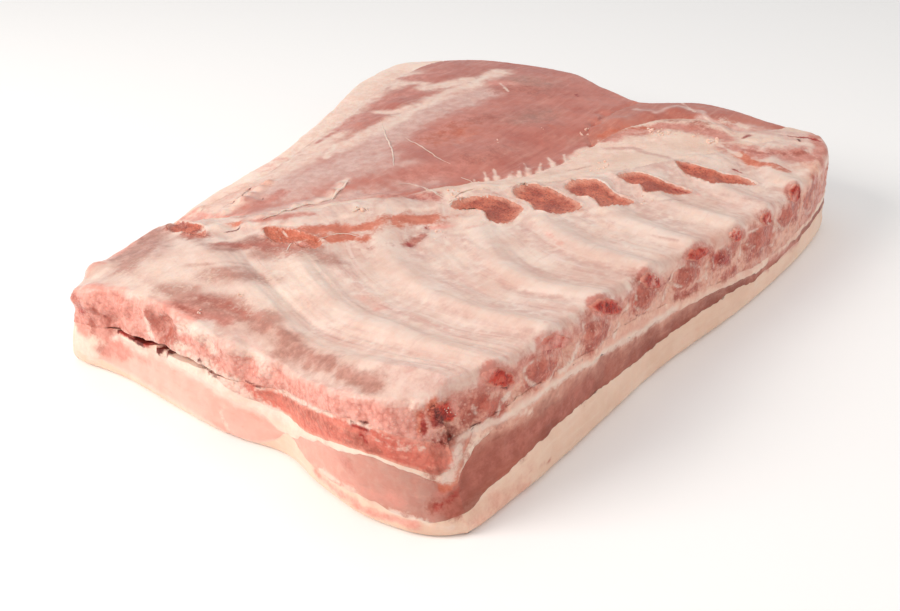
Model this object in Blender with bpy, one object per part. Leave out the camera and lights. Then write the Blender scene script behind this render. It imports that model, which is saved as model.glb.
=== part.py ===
"""Slab of raw pork belly with the ribs in it, lying on its skin, inner side up.

The slab is a stack of layers on one four-sided patch. The patch runs from the long rib cut
(v = 0) to the belly edge (v = 1) and from the breast end (u = 0) to the flank end (u = 1).
All sizes are in millimetres, with the near corner of the two cut faces at (0, 0).
"""

import math

import bmesh
import bpy
import numpy as np

MM = 0.001                    # metres in a millimetre
NAME = "rib_in_pork_belly"
GAP = 0.3                     # clearance between touching solids
HALF_GAP = GAP / 2

# Plan outline at the skin: each edge runs between two corners of the slab.
RIB_CUT = [(0, 0), (47, -3), (149, -4), (233, -12), (270, -13), (324, -11), (350, -6), (364, 4)]
BREAST_END = [(0, 0), (-9, 14), (-13, 36), (-8, 66), (0, 91), (-3, 118), (-1, 152), (3, 190), (1, 224)]
BELLY_EDGE = [(1, 224), (30, 237), (66, 243), (105, 252), (190, 268), (261, 292), (335, 317), (370, 318),
              (391, 301)]
FLANK_END = [(364, 4), (371, 22), (374, 50), (383, 92), (373, 121), (386, 158), (404, 195), (409, 240),
             (404, 277), (391, 301)]

# How far each wall leans in, in millimetres for each millimetre of height.
LEAN_RIB_CUT = 0.12
LEAN_FADE_POWER = 4           # how late that lean fades out towards the flank end
LEAN_BREAST_END = 0.05
LEAN_BELLY_EDGE = 0.20
LEAN_FLANK_END = 0.05
CORNER_LEAN = 1.4             # extra share of the rib cut's lean at its near corner
CORNER_LEAN_REACH = 0.06      # how far that reaches along the rib cut, as a share of u

# Height of each level along the four edges, as (distance from the edge's first corner, height).
FAT_LEVEL = {
    "rib_cut": [(0, 9), (14, 13), (60, 18.5), (130, 15), (205, 15), (240, 12.5), (366, 18)],
    "breast_end": [(0, 9), (8, 7), (40, 10), (76, 9), (88, 13), (100, 5), (150, 3.5), (200, 5), (223, 8)],
    "belly_edge": [(0, 8), (390, 9)],
    "flank_end": [(0, 18), (90, 14), (315, 9)],
}
LEAN_LEVEL = {
    "rib_cut": [(0, 25), (12, 32), (30, 34), (80, 31), (149, 25), (205, 20), (240, 15.5), (366, 23)],
    "breast_end": [(0, 25), (33, 28), (76, 18.5), (88, 14.5), (120, 17.5), (180, 21.5), (206, 21), (223, 12)],
    "belly_edge": [(0, 12), (390, 12)],
    "flank_end": [(0, 23), (90, 19), (315, 12)],
}
FLOOR_LEVEL = {
    "rib_cut": [(0, 40), (30, 39.5), (80, 36), (110, 37), (154, 31), (205, 24), (250, 19), (366, 25)],
    "breast_end": [(0, 40), (42, 42), (66, 35), (107, 29.5), (150, 27), (180, 24), (223, 26)],
    "belly_edge": [(0, 26), (60, 20), (200, 18), (390, 20)],
    "flank_end": [(0, 25), (90, 27), (315, 20)],
}
TOP_LEVEL = {
    "rib_cut": [(0, 58.5), (25, 58.5), (100, 55), (183, 49.5), (252, 44.5), (300, 44), (330, 46), (366, 46)],
    "breast_end": [(0, 58.5), (42, 52), (90, 42.5), (133, 46), (160, 48), (200, 44), (223, 38)],
    "belly_edge": [(0, 38), (100, 37), (390, 36)],
    "flank_end": [(0, 46), (80, 46), (130, 43), (200, 42), (315, 36)],
}
BREAST_END_LENGTH = 223
LEAN_LEAST = 1.4              # a lean layer keeps this depth where it runs out
SEAM_LEAST = 2.0
INNER_LEAN_DEPTH = [(0, 3), (10, 13), (40, 12.5), (80, 10), (104, 4), (114, 1.2)]
INNER_LEAN_REACH = 0.42       # how far the inner lean runs in from the breast end, as a share of u
CRACK_SPAN = (112, 205)       # open seam under the rib sheet along the breast end
CRACK_OPENING = 3.2

# Stations of the layer grid, and how much finer the top is.
U_CELLS = 21
V_CELLS_TO_SEPTUM = 6
V_CELLS_PAST_SEPTUM = 6
V_CELLS = V_CELLS_TO_SEPTUM + 1 + V_CELLS_PAST_SEPTUM
CORNER_SHARE = 0.02           # narrow first cell beside the rib cut, as a share of v
SEPTUM = (0.385, 0.405)       # fat between the outer lean and the breast lean, as shares of v
TOP_U_SPLIT = 3
TOP_V_SPLIT = 2

# Ranges of v stations that the lean layers span.
OUTER_LEAN_V = (0, V_CELLS_TO_SEPTUM)
BREAST_LEAN_V = (V_CELLS_TO_SEPTUM + 1, V_CELLS - 1)
INNER_LEAN_V = (1, V_CELLS_TO_SEPTUM + 2)

# Ribs: each runs from its sawn end on the rib cut to its slanting cut end on the costal arch.
RIB_ROUTES = [
    [(10, 12), (7, 42), (15, 92), (33, 138), (48, 176), (67, 212)],
    [(27, 6), (27, 34), (35, 68), (50, 110), (68, 140), (97, 163)],
    [(61, 3), (60, 34), (71, 64), (90, 98), (108, 123), (139, 142)],
    [(103, 2), (98, 24), (107, 54), (130, 78), (149, 96), (178, 110)],
    [(143, 0), (143, 24), (151, 46), (165, 66), (180, 84), (206, 93)],
    [(181, -1), (183, 22), (191, 42), (201, 57), (212, 69), (230, 76)],
    [(217, -4), (219, 14), (224, 31), (231, 44), (239, 52), (255, 58)],
    [(251, -6), (254, 8), (260, 20), (267, 30), (275, 36), (289, 39)],
    [(289, -7), (294, 2), (300, 8), (307, 12), (314, 16), (324, 20)],
]
RIB_HALF_WIDTH = 7.6
RIB_HALF_HEIGHT = 5.8
RIB_INSET = 0.5               # the sawn end lies this far inside the face
RIB_ROOF = 2.3                # meat and membrane over the rib
RIB_END_HALF_WIDTH = 12.5
RIB_END_LENGTH = 17.0         # length of the bared, slanting end
RIB_TAPER = 1.6               # the rib widens and thins over this many times that length
RIB_END_THINNING = 0.75
RIB_SWELL_RATE = 1.15         # the widest place lies before the tip
RIB_SWELL_SPAN = 1.9
RIB_RING_SPACING = 19.0
RIB_LEAST_RINGS = 6
RIB_SIDES = 8
RIB_LINE_STEPS = 10
TUNNEL_LIFT = 6.0             # the hole for a rib is open above its bared end
TUNNEL_REACH = 12.0           # and goes out through the rib cut
RIDGE_HEIGHT = 3.0            # how far the membrane stands up over a rib
RIDGE_HALF_WIDTH = 8.0
RIDGE_FADE = 0.6              # share of the ridge that is gone at the bared end

# Lines on the top, in plan, between its regions.
ARCH_INNER = [(50, 270), (82, 218), (104, 181), (134, 160), (160, 146), (189, 122), (218, 102),
              (242, 84), (269, 66), (300, 47), (330, 27), (352, 10), (386, -14)]
ARCH_OUTER = [(76, 270), (92, 210), (106, 190), (134, 173), (162, 155), (202, 140), (230, 124),
              (262, 117), (296, 116)]
RIM_LINE = [(87, 229), (105, 236), (135, 237), (194, 251), (238, 262), (286, 277), (332, 288),
            (368, 291), (430, 281)]
ROLL_CREASE = [(296, 116), (312, 128), (340, 130), (372, 124), (420, 112)]
ROLL_NEAR = [(296, 116), (326, 106), (348, 92), (352, 68), (347, 46), (358, 34), (398, 24)]
ROLL_BACK = [(325, 114), (360, 100), (368, 60)]
LINE_STEPS = {"arch_inner": 30, "arch_outer": 22, "rim": 22, "roll_crease": 8, "roll_near": 14}
OUTSIDE = 60.0                # how far the region blocks reach past the slab
OUTSIDE_NEAR = -40.0          # and past the rib cut
BLOCK_BASE = -5.0
BLOCK_HEIGHT = 90.0
RIM_MARGIN = 1.0              # the rim's block starts this far past the arch's outer end
RIM_SUNK = 2.5                # how deep the rim reaches into the seam fat that it is one with

# Swells of the top: (height, half width), each along a line.
ROLL_RISE = (2.0, 17)         # the second muscle stands proud of the flap
ARCH_RISE = (2.5, 16)         # the costal arch stands up over the ribs' bared ends
FLAP_HOLLOW = (-3.0, 14)      # the flap dips beside the costal arch
FLAP_HOLLOW_OFFSET = 10       # distance from the arch's outer line to the hollow's middle
ARCH_STEPS = 16
ROLL_STEPS = 6

NEAREST_POINTS = 6            # grid points that the height of the top is read from
SHARP_ANGLE = 40              # degrees

# Colours are linear; each material is (red, green, blue), roughness.
BACK_FAT = ((0.72, 0.47, 0.35), 0.45)
SEAM_FAT = ((0.78, 0.54, 0.42), 0.42)
OUTER_LEAN = ((0.42, 0.12, 0.085), 0.40)
BREAST_LEAN = ((0.66, 0.30, 0.22), 0.40)
INNER_LEAN = ((0.58, 0.17, 0.13), 0.38)
MEMBRANE = ((0.70, 0.44, 0.35), 0.30)
FLAP_LEAN = ((0.48, 0.19, 0.14), 0.36)
RIB_MARROW = ((0.50, 0.13, 0.075), 0.55)


def clear_scene():
    for thing in list(bpy.data.objects):
        bpy.data.objects.remove(thing, do_unlink=True)


def new_collection(name):
    collection = bpy.data.collections.new(name)
    bpy.context.scene.collection.children.link(collection)
    return collection


def raw_material(name, finish):
    colour, roughness = finish
    material = bpy.data.materials.new(name)
    material.use_nodes = True
    shader = material.node_tree.nodes["Principled BSDF"]
    shader.inputs["Base Color"].default_value = (*colour, 1.0)
    shader.inputs["Roughness"].default_value = roughness
    shader.inputs["Metallic"].default_value = 0.0
    material.diffuse_color = (*colour, 1.0)
    return material


# ---- curves and levels ----

def smooth(knots, values):
    """Cubic curve through the values at rising knots, as a function of the share of its length."""
    knots = np.asarray(knots, float)
    values = np.asarray(values, float)
    slopes = np.gradient(values, knots, axis=0)

    def at(share):
        place = min(max(share * knots[-1], knots[0]), knots[-1])
        i = min(max(int(np.searchsorted(knots, place)) - 1, 0), len(knots) - 2)
        span = knots[i + 1] - knots[i]
        t = (place - knots[i]) / span
        rise = t * t * (3 - 2 * t)
        start = t * (1 - t) ** 2 * span
        end = t * t * (t - 1) * span
        return values[i] + rise * (values[i + 1] - values[i]) + start * slopes[i] + end * slopes[i + 1]

    return at


def path(points):
    """Smooth curve through plan points."""
    steps = np.linalg.norm(np.diff(np.asarray(points, float), axis=0), axis=1)
    return smooth(np.concatenate([[0.0], np.cumsum(steps)]), points)


def sampled(points, count):
    curve = path(points)
    return [curve(i / count) for i in range(count + 1)]


def profile(pairs):
    """Smooth height along an edge, from pairs of distance and height."""
    return smooth([pair[0] for pair in pairs], [pair[1] for pair in pairs])


def patch(edges):
    """Four-sided patch between edge curves that meet at their corners."""
    rib_cut, belly_edge, breast_end, flank_end = edges

    def at(u, v):
        across = (1 - v) * rib_cut(u) + v * belly_edge(u)
        along = (1 - u) * breast_end(v) + u * flank_end(v)
        near = (1 - v) * ((1 - u) * rib_cut(0) + u * rib_cut(1))
        far = v * ((1 - u) * belly_edge(0) + u * belly_edge(1))
        return across + along - near - far

    return at


def level_patch(level):
    return patch([profile(level[edge]) for edge in ("rib_cut", "belly_edge", "breast_end", "flank_end")])


plan = patch([path(RIB_CUT), path(BELLY_EDGE), path(BREAST_END), path(FLANK_END)])
fat_height = level_patch(FAT_LEVEL)
lean_height = level_patch(LEAN_LEVEL)
floor_height = level_patch(FLOOR_LEVEL)
top_height = level_patch(TOP_LEVEL)
inner_lean_depth = profile(INNER_LEAN_DEPTH)


def leaned(u, v, z):
    """Point of the slab at patch place (u, v) and height z, with the walls leaning in."""
    x, y = plan(u, v)
    corner = 1 + CORNER_LEAN * math.exp(-(u / CORNER_LEAN_REACH) ** 2)
    lean_y = LEAN_RIB_CUT * corner * (1 - u ** LEAN_FADE_POWER)
    x += z * (LEAN_BREAST_END * (1 - u) - LEAN_FLANK_END * u)
    y += z * (lean_y * (1 - v) - LEAN_BELLY_EDGE * v)
    return np.array([x, y, z])


def u_station(i):
    return i / U_CELLS


def v_station(j):
    """Stations leave a narrow cell at the rib cut, step over the septum and go on to the belly edge."""
    if j <= 1:
        return CORNER_SHARE * j
    if j <= V_CELLS_TO_SEPTUM:
        return CORNER_SHARE + (SEPTUM[0] - CORNER_SHARE) * (j - 1) / (V_CELLS_TO_SEPTUM - 1)
    past = j - V_CELLS_TO_SEPTUM
    if past <= 1:
        return SEPTUM[0] + (SEPTUM[1] - SEPTUM[0]) * past
    return SEPTUM[1] + (1 - SEPTUM[1]) * (past - 1) / V_CELLS_PAST_SEPTUM


# ---- levels of the stack ----

def fat_top(i, j):
    return fat_height(u_station(i), v_station(j))


def in_lean(j):
    in_outer = OUTER_LEAN_V[0] <= j <= OUTER_LEAN_V[1]
    in_breast = BREAST_LEAN_V[0] <= j <= BREAST_LEAN_V[1]
    return in_outer or in_breast


def lean_top(i, j):
    fat = fat_top(i, j)
    if not in_lean(j):
        return fat
    return max(lean_height(u_station(i), v_station(j)), fat + LEAN_LEAST)


def floor_top(i, j):
    u = u_station(i)
    v = v_station(j)
    return max(floor_height(u, v), lean_height(u, v) + SEAM_LEAST)


def inner_lean_cells():
    return int(INNER_LEAN_REACH * U_CELLS)


def seam_top(i, j):
    floor = floor_top(i, j)
    inside = i <= inner_lean_cells() and INNER_LEAN_V[0] <= j <= INNER_LEAN_V[1]
    if not inside:
        return floor
    depth = inner_lean_depth(v_station(j) * BREAST_END_LENGTH / INNER_LEAN_DEPTH[-1][0])
    fade = 1 - (i / inner_lean_cells()) ** 2
    room = floor - lean_height(u_station(i), v_station(j)) - SEAM_LEAST
    return floor - max(LEAN_LEAST, min(depth * fade, room))


def crack_lift(i, j):
    along_end = v_station(j) * BREAST_END_LENGTH
    if i > 0 or not CRACK_SPAN[0] < along_end < CRACK_SPAN[1]:
        return 0.0
    t = (along_end - CRACK_SPAN[0]) / (CRACK_SPAN[1] - CRACK_SPAN[0])
    return CRACK_OPENING * math.sin(math.pi * t)


# ---- top of the slab ----

def distance_to(line, x, y):
    """Distance in plan from a point to a polyline, and the share of its length there."""
    best = (math.inf, 0.0)
    for k in range(len(line) - 1):
        a = line[k]
        d = line[k + 1] - a
        t = float(np.clip(((x - a[0]) * d[0] + (y - a[1]) * d[1]) / (d @ d), 0, 1))
        away = math.hypot(x - a[0] - t * d[0], y - a[1] - t * d[1])
        if away < best[0]:
            best = (away, (k + t) / (len(line) - 1))
    return best


def from_face(route):
    """Rib route with its first point moved onto the leaning rib cut."""
    x = route[0][0]
    share = x / RIB_CUT[-1][0]
    _, y, _ = leaned(share, 0.0, top_height(share, 0.0) - RIB_ROOF - RIB_HALF_HEIGHT)
    return [(x, y + RIB_INSET)] + route[1:]


RIB_PATHS = [from_face(route) for route in RIB_ROUTES]
RIB_LINES = [sampled(route, RIB_LINE_STEPS) for route in RIB_PATHS]
SWELLS = [
    (ARCH_RISE, sampled(ARCH_INNER, ARCH_STEPS)),
    (FLAP_HOLLOW, sampled([(x, y + FLAP_HOLLOW_OFFSET) for x, y in ARCH_OUTER], ARCH_STEPS)),
    (ROLL_RISE, sampled(ROLL_BACK, ROLL_STEPS)),
]


def top_relief(x, y):
    """Ridges over the ribs, the hollow of the flap and the roll of the second muscle."""
    relief = 0.0
    for line in RIB_LINES:
        away, share = distance_to(line, x, y)
        height = RIDGE_HEIGHT * (1 - RIDGE_FADE * share ** 3)
        relief += height * math.exp(-(away / RIDGE_HALF_WIDTH) ** 2)
    for (height, half_width), line in SWELLS:
        away, _ = distance_to(line, x, y)
        relief += height * math.exp(-(away / half_width) ** 2)
    return relief


def top_point(u, v):
    z = top_height(u, v)
    x, y, _ = leaned(u, v, z)
    return leaned(u, v, z + top_relief(x, y))


def build_top_table():
    """Top points on the fine grid, kept so that every piece reads the same surface."""
    rows = []
    for i in range(U_CELLS * TOP_U_SPLIT + 1):
        u = i / (U_CELLS * TOP_U_SPLIT)
        row = []
        for j in range(V_CELLS * TOP_V_SPLIT + 1):
            row.append(top_point(u, v_station(j / TOP_V_SPLIT)))
        rows.append(row)
    return np.array(rows)


TOP_TABLE = build_top_table()


def surface_height(x, y):
    """Height of the top at a plan point: weighted mean of the nearest grid points."""
    away = ((TOP_TABLE[:, :, 0] - x) ** 2 + (TOP_TABLE[:, :, 1] - y) ** 2).ravel()
    nearest = np.argpartition(away, NEAREST_POINTS)[:NEAREST_POINTS]
    weights = 1 / (away[nearest] + 1)
    return float((TOP_TABLE[:, :, 2].ravel()[nearest] * weights).sum() / weights.sum())


# ---- meshes ----

def outline_origin():
    """Middle of the outline's box in plan: the slab's origin."""
    ring = [plan(u_station(i), v) for i in range(U_CELLS + 1) for v in (0.0, 1.0)]
    ring += [plan(u, v_station(j)) for j in range(V_CELLS + 1) for u in (0.0, 1.0)]
    ring = np.array(ring)
    return (ring.min(axis=0) + ring.max(axis=0)) / 2


ORIGIN = outline_origin()


def placed(point):
    return ((point[0] - ORIGIN[0]) * MM, (point[1] - ORIGIN[1]) * MM, point[2] * MM)


def add_object(bm, name, collection, finish=None):
    bmesh.ops.recalc_face_normals(bm, faces=bm.faces)
    mesh = bpy.data.meshes.new(name)
    bm.to_mesh(mesh)
    bm.free()
    thing = bpy.data.objects.new(name, mesh)
    collection.objects.link(thing)
    if finish:
        mesh.materials.append(raw_material(name + "_raw", finish))
        mesh.shade_smooth()
        mesh.set_sharp_from_angle(angle=math.radians(SHARP_ANGLE))
    return thing


def grid_faces(bm, grid):
    for i in range(len(grid) - 1):
        for j in range(len(grid[0]) - 1):
            bm.faces.new((grid[i][j], grid[i + 1][j], grid[i + 1][j + 1], grid[i][j + 1]))


def rim_of(grid):
    """Border of a grid of vertices, once round."""
    near = [row[0] for row in grid]
    right = grid[-1][1:]
    far = [row[-1] for row in reversed(grid[:-1])]
    left = list(reversed(grid[0][1:-1]))
    return near + right + far + left


def wall(bm, low, high):
    """Wall between a ring and another with a whole number of times as many vertices."""
    split = len(high) // len(low)
    for k in range(len(low)):
        upper = [high[(k * split + step) % len(high)] for step in range(split + 1)]
        bm.faces.new([low[k], low[(k + 1) % len(low)]] + list(reversed(upper)))


def layer(name, bottom, top, u_range, v_range, collection, finish):
    """Solid between two levels on the layer grid."""
    bm = bmesh.new()
    grids = []
    for level in (bottom, top):
        grid = []
        for i in range(u_range[0], u_range[1] + 1):
            row = []
            for j in range(v_range[0], v_range[1] + 1):
                row.append(bm.verts.new(placed(leaned(u_station(i), v_station(j), level(i, j)))))
            grid.append(row)
        grids.append(grid)
    grid_faces(bm, grids[0])
    grid_faces(bm, grids[1])
    wall(bm, rim_of(grids[0]), rim_of(grids[1]))
    return add_object(bm, name, collection, finish)


def back_fat(collection):
    """Skin and back fat: flat where it lies, shaped to the lean above."""
    bm = bmesh.new()
    grid = []
    for i in range(U_CELLS + 1):
        row = []
        for j in range(V_CELLS + 1):
            z = fat_top(i, j) - HALF_GAP
            row.append(bm.verts.new(placed(leaned(u_station(i), v_station(j), z))))
        grid.append(row)
    grid_faces(bm, grid)
    upper = rim_of(grid)
    lower = []
    for k in range(len(upper)):
        lower.append(bm.verts.new(placed(rim_base(k))))
    wall(bm, lower, upper)
    bm.faces.new(lower)
    return add_object(bm, "back_fat", collection, BACK_FAT)


def rim_base(k):
    """Point on the skin under the k-th vertex of the layer grid's border."""
    border = [(i, 0) for i in range(U_CELLS + 1)]
    border += [(U_CELLS, j) for j in range(1, V_CELLS + 1)]
    border += [(i, V_CELLS) for i in range(U_CELLS - 1, -1, -1)]
    border += [(0, j) for j in range(V_CELLS - 1, 0, -1)]
    i, j = border[k]
    return leaned(u_station(i), v_station(j), 0.0)


def upper_slab(name, collection, finish, sunk=0.0):
    """Everything between the floor level and the top, with its fine upper surface."""
    bm = bmesh.new()
    floor = []
    for i in range(U_CELLS + 1):
        row = []
        for j in range(V_CELLS + 1):
            z = floor_top(i, j) + HALF_GAP + crack_lift(i, j) - sunk
            row.append(bm.verts.new(placed(leaned(u_station(i), v_station(j), z))))
        floor.append(row)
    top = []
    for table_row in TOP_TABLE:
        top.append([bm.verts.new(placed(point)) for point in table_row])
    grid_faces(bm, floor)
    grid_faces(bm, top)
    mixed_wall(bm, floor, top)
    return add_object(bm, name, collection, finish)


def mixed_wall(bm, floor, top):
    """Walls of the upper slab: each side joins its coarse floor edge to its fine top edge."""
    sides = [
        ([row[0] for row in floor], [row[0] for row in top], TOP_U_SPLIT),
        (floor[-1], top[-1], TOP_V_SPLIT),
        ([row[-1] for row in floor], [row[-1] for row in top], TOP_U_SPLIT),
        (floor[0], top[0], TOP_V_SPLIT),
    ]
    for low, high, split in sides:
        for k in range(len(low) - 1):
            upper = high[k * split:(k + 1) * split + 1]
            turn = split // 2
            for step in range(split):
                foot = low[k] if step < turn else low[k + 1]
                bm.faces.new((foot, upper[step + 1], upper[step]))
            bm.faces.new((low[k], low[k + 1], upper[turn]))


# ---- regions of the top ----

def shifted(line, distance):
    """Line moved to its left by a distance."""
    line = np.array(line)
    tangent = np.gradient(line, axis=0)
    tangent /= np.linalg.norm(tangent, axis=1)[:, None]
    return line + distance * np.column_stack([-tangent[:, 1], tangent[:, 0]])


def region_block(name, outline, collection):
    """Upright block over a plan outline, for cutting one region out of the upper slab."""
    bm = bmesh.new()
    base = [bm.verts.new(placed((p[0], p[1], BLOCK_BASE))) for p in outline]
    bottom = bm.faces.new(base)
    raised = bmesh.ops.extrude_face_region(bm, geom=[bottom])
    moved = [e for e in raised["geom"] if isinstance(e, bmesh.types.BMVert)]
    bmesh.ops.translate(bm, verts=moved, vec=(0, 0, BLOCK_HEIGHT * MM))
    block = add_object(bm, name, collection)
    block.hide_render = True
    block.display_type = "WIRE"
    return block


def boolean(thing, operation, other, solver="EXACT"):
    cut = thing.modifiers.new(operation.lower(), "BOOLEAN")
    cut.operation = operation
    cut.solver = solver
    cut.object = other


def region_outlines():
    """Plan outlines of the regions beyond the ribs, each half a gap inside its lines."""
    inner = sampled(ARCH_INNER, LINE_STEPS["arch_inner"])
    outer = sampled(ARCH_OUTER, LINE_STEPS["arch_outer"])
    rim = sampled(RIM_LINE, LINE_STEPS["rim"])
    crease = sampled(ROLL_CREASE, LINE_STEPS["roll_crease"])
    near = sampled(ROLL_NEAR, LINE_STEPS["roll_near"])
    rim_x = outer[0][0] + RIM_MARGIN
    far_x = FLANK_END[-1][0] + OUTSIDE
    far_y = BELLY_EDGE[-1][1] + OUTSIDE
    outlines = {}
    beyond = [(far_x, OUTSIDE_NEAR), (far_x, far_y), (ARCH_INNER[0][0], far_y)]
    outlines["beyond_ribs"] = list(shifted(inner, -HALF_GAP)) + beyond
    band = list(shifted(inner, HALF_GAP))
    band += list(reversed(shifted(near, -HALF_GAP)))[:-1]
    band += list(reversed(shifted(outer, -HALF_GAP)))
    outlines["arch_band"] = band
    beside_rim = [p for p in shifted(outer, HALF_GAP) if p[1] < rim[0][1]]
    flap = beside_rim[:-1] + [crease[0] + np.array([0.0, GAP])]
    flap += list(shifted(crease, HALF_GAP))[1:]
    flap += list(reversed(shifted(rim, -HALF_GAP)))
    outlines["flap"] = flap
    rim_band = list(shifted(rim, HALF_GAP))
    rim_band += [(far_x, rim[-1][1]), (far_x, far_y), (rim_x, far_y), (rim_x, outer[0][1])]
    outlines["rim"] = rim_band
    roll = list(reversed(shifted(crease, -HALF_GAP)))
    roll += list(shifted(near, HALF_GAP))[1:]
    outlines["roll"] = roll
    return outlines


# ---- ribs ----

def rib_half_width(bare):
    """The rib widens into its bared end, and rounds off."""
    swell = math.sin(math.pi * min(1.0, bare * RIB_SWELL_RATE) / RIB_SWELL_SPAN)
    return RIB_HALF_WIDTH + (RIB_END_HALF_WIDTH - RIB_HALF_WIDTH) * swell


def rib_ring(line_points, k, grow, lift):
    """One ring of a rib, as points in millimetres."""
    centre = line_points[k]
    ahead = line_points[min(k + 1, len(line_points) - 1)] - line_points[max(k - 1, 0)]
    ahead = ahead / np.linalg.norm(ahead)
    across = np.array([ahead[1], -ahead[0]])
    step = np.linalg.norm(line_points[-1] - line_points[-2])
    from_end = (len(line_points) - 1 - k) * step
    bare = max(0.0, 1 - from_end / (RIB_END_LENGTH * RIB_TAPER))
    half_width = rib_half_width(bare) + grow
    half_height = RIB_HALF_HEIGHT + grow
    surface = surface_height(*centre)
    middle = surface - RIB_ROOF - RIB_HALF_HEIGHT * (1 - RIB_END_THINNING * bare)
    exposed = from_end < RIB_END_LENGTH
    ring = []
    for side in range(RIB_SIDES):
        angle = 2 * math.pi * (side + 0.5) / RIB_SIDES
        x, y = centre + across * half_width * math.cos(angle)
        z = middle + half_height * math.sin(angle)
        if exposed and math.sin(angle) > 0:
            z = surface + lift
        elif not exposed:
            z = min(z, surface - RIB_ROOF + grow)
        ring.append((x, y, z))
    return ring


def moved_ring(ring, toward, distance):
    step = np.append(toward / np.linalg.norm(toward) * distance, 0.0)
    return [np.array(point) + step for point in ring]


def rib_solid(name, route, collection, finish, grow=0.0, lift=0.0, reach=0.0):
    """Loft of rings along a rib's route; a cutter is grown, lifted and reaches past the ends."""
    length = sum(math.dist(a, b) for a, b in zip(route[:-1], route[1:]))
    points = sampled(route, max(RIB_LEAST_RINGS, round(length / RIB_RING_SPACING)))
    outlines = [rib_ring(points, k, grow, lift) for k in range(len(points))]
    if reach:
        outlines.insert(0, moved_ring(outlines[0], points[0] - points[1], reach))
        outlines.append(moved_ring(outlines[-1], points[-1] - points[-2], grow))
    bm = bmesh.new()
    rings = [[bm.verts.new(placed(point)) for point in outline] for outline in outlines]
    for low, high in zip(rings[:-1], rings[1:]):
        wall(bm, low, high)
    bm.faces.new(rings[0])
    bm.faces.new(rings[-1])
    rib = add_object(bm, name, collection, finish)
    if not finish:
        rib.hide_render = True
        rib.display_type = "WIRE"
    return rib


def add_ribs(parts, cutters):
    tunnels = []
    for number, route in enumerate(RIB_PATHS, 1):
        rib_solid(f"rib_{number:02d}", route, parts, RIB_MARROW)
        tunnels.append(rib_solid(f"tunnel_{number:02d}", route, cutters, None,
                                 grow=GAP, lift=TUNNEL_LIFT, reach=TUNNEL_REACH))
    return tunnels


# ---- the slab ----

def add_layers(parts):
    back_fat(parts)
    layer("outer_lean", lambda i, j: fat_top(i, j) + HALF_GAP, lambda i, j: lean_top(i, j) - HALF_GAP,
          (0, U_CELLS), OUTER_LEAN_V, parts, OUTER_LEAN)
    layer("breast_lean", lambda i, j: fat_top(i, j) + HALF_GAP, lambda i, j: lean_top(i, j) - HALF_GAP,
          (0, U_CELLS), BREAST_LEAN_V, parts, BREAST_LEAN)
    layer("inner_lean", lambda i, j: seam_top(i, j) + HALF_GAP, lambda i, j: floor_top(i, j) - HALF_GAP,
          (0, inner_lean_cells()), INNER_LEAN_V, parts, INNER_LEAN)
    return layer("seam_fat", lambda i, j: lean_top(i, j) + HALF_GAP, lambda i, j: seam_top(i, j) - HALF_GAP,
                 (0, U_CELLS), (0, V_CELLS), parts, SEAM_FAT)


def main():
    clear_scene()
    parts = new_collection(NAME)
    cutters = new_collection("cutters")
    seam = add_layers(parts)
    outlines = region_outlines()
    blocks = {name: region_block(name, outline, cutters) for name, outline in outlines.items()}
    tunnels = add_ribs(parts, cutters)
    meat = upper_slab("rib_meat", parts, MEMBRANE)
    boolean(meat, "DIFFERENCE", blocks["beyond_ribs"])
    arch = upper_slab("arch_fat", parts, SEAM_FAT)
    boolean(arch, "INTERSECT", blocks["arch_band"])
    for tunnel in tunnels:
        boolean(meat, "DIFFERENCE", tunnel, "MANIFOLD")
        boolean(arch, "DIFFERENCE", tunnel, "MANIFOLD")
    flap = upper_slab("flap_muscle", parts, FLAP_LEAN)
    boolean(flap, "INTERSECT", blocks["flap"])
    roll = upper_slab("flank_roll", parts, FLAP_LEAN)
    boolean(roll, "INTERSECT", blocks["roll"])
    rim = upper_slab("rim", cutters, None, sunk=RIM_SUNK)
    rim.hide_render = True
    rim.display_type = "WIRE"
    boolean(rim, "INTERSECT", blocks["rim"])
    boolean(seam, "UNION", rim)


main()
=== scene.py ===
# Raw rib-in pork belly, lying on its skin with the inner side up.
# Sizes are in millimetres until a mesh is written, from the near corner of the two cut faces.
# Small details are placed by the pixel of the photograph that shows them.
import math

import bpy
import numpy as np
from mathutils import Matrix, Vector
from mathutils.kdtree import KDTree


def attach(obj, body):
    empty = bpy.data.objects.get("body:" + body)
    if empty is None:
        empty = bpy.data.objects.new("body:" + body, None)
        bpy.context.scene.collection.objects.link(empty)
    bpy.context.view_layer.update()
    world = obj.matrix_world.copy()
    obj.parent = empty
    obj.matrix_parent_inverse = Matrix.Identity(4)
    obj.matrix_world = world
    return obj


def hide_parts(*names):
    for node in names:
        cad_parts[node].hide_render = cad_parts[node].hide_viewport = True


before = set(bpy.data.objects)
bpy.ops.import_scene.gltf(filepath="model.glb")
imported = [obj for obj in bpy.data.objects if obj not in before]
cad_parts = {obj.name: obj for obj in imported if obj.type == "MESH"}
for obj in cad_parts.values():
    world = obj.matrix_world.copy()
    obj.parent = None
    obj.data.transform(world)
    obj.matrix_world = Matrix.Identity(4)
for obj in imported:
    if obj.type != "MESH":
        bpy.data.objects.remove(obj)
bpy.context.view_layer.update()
print("frame loaded")

millimetre = 0.001


def pairsOf(text):
    # "x,y x,y" as a list of points
    return [tuple(float(number) for number in pair.split(",")) for pair in text.split()]


# camera: first, because small details are placed through it
photoCamera = {
    "frame": (900, 611),                # pixels of the photograph
    "focal": 1200.0,                    # pixels
    "sensor": 36.0,
    "tilt": 62.0,                       # degrees up from looking straight down
    "heading": -54.9,
    "place": (-487.5, -348.0, 283.0),
}


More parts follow.
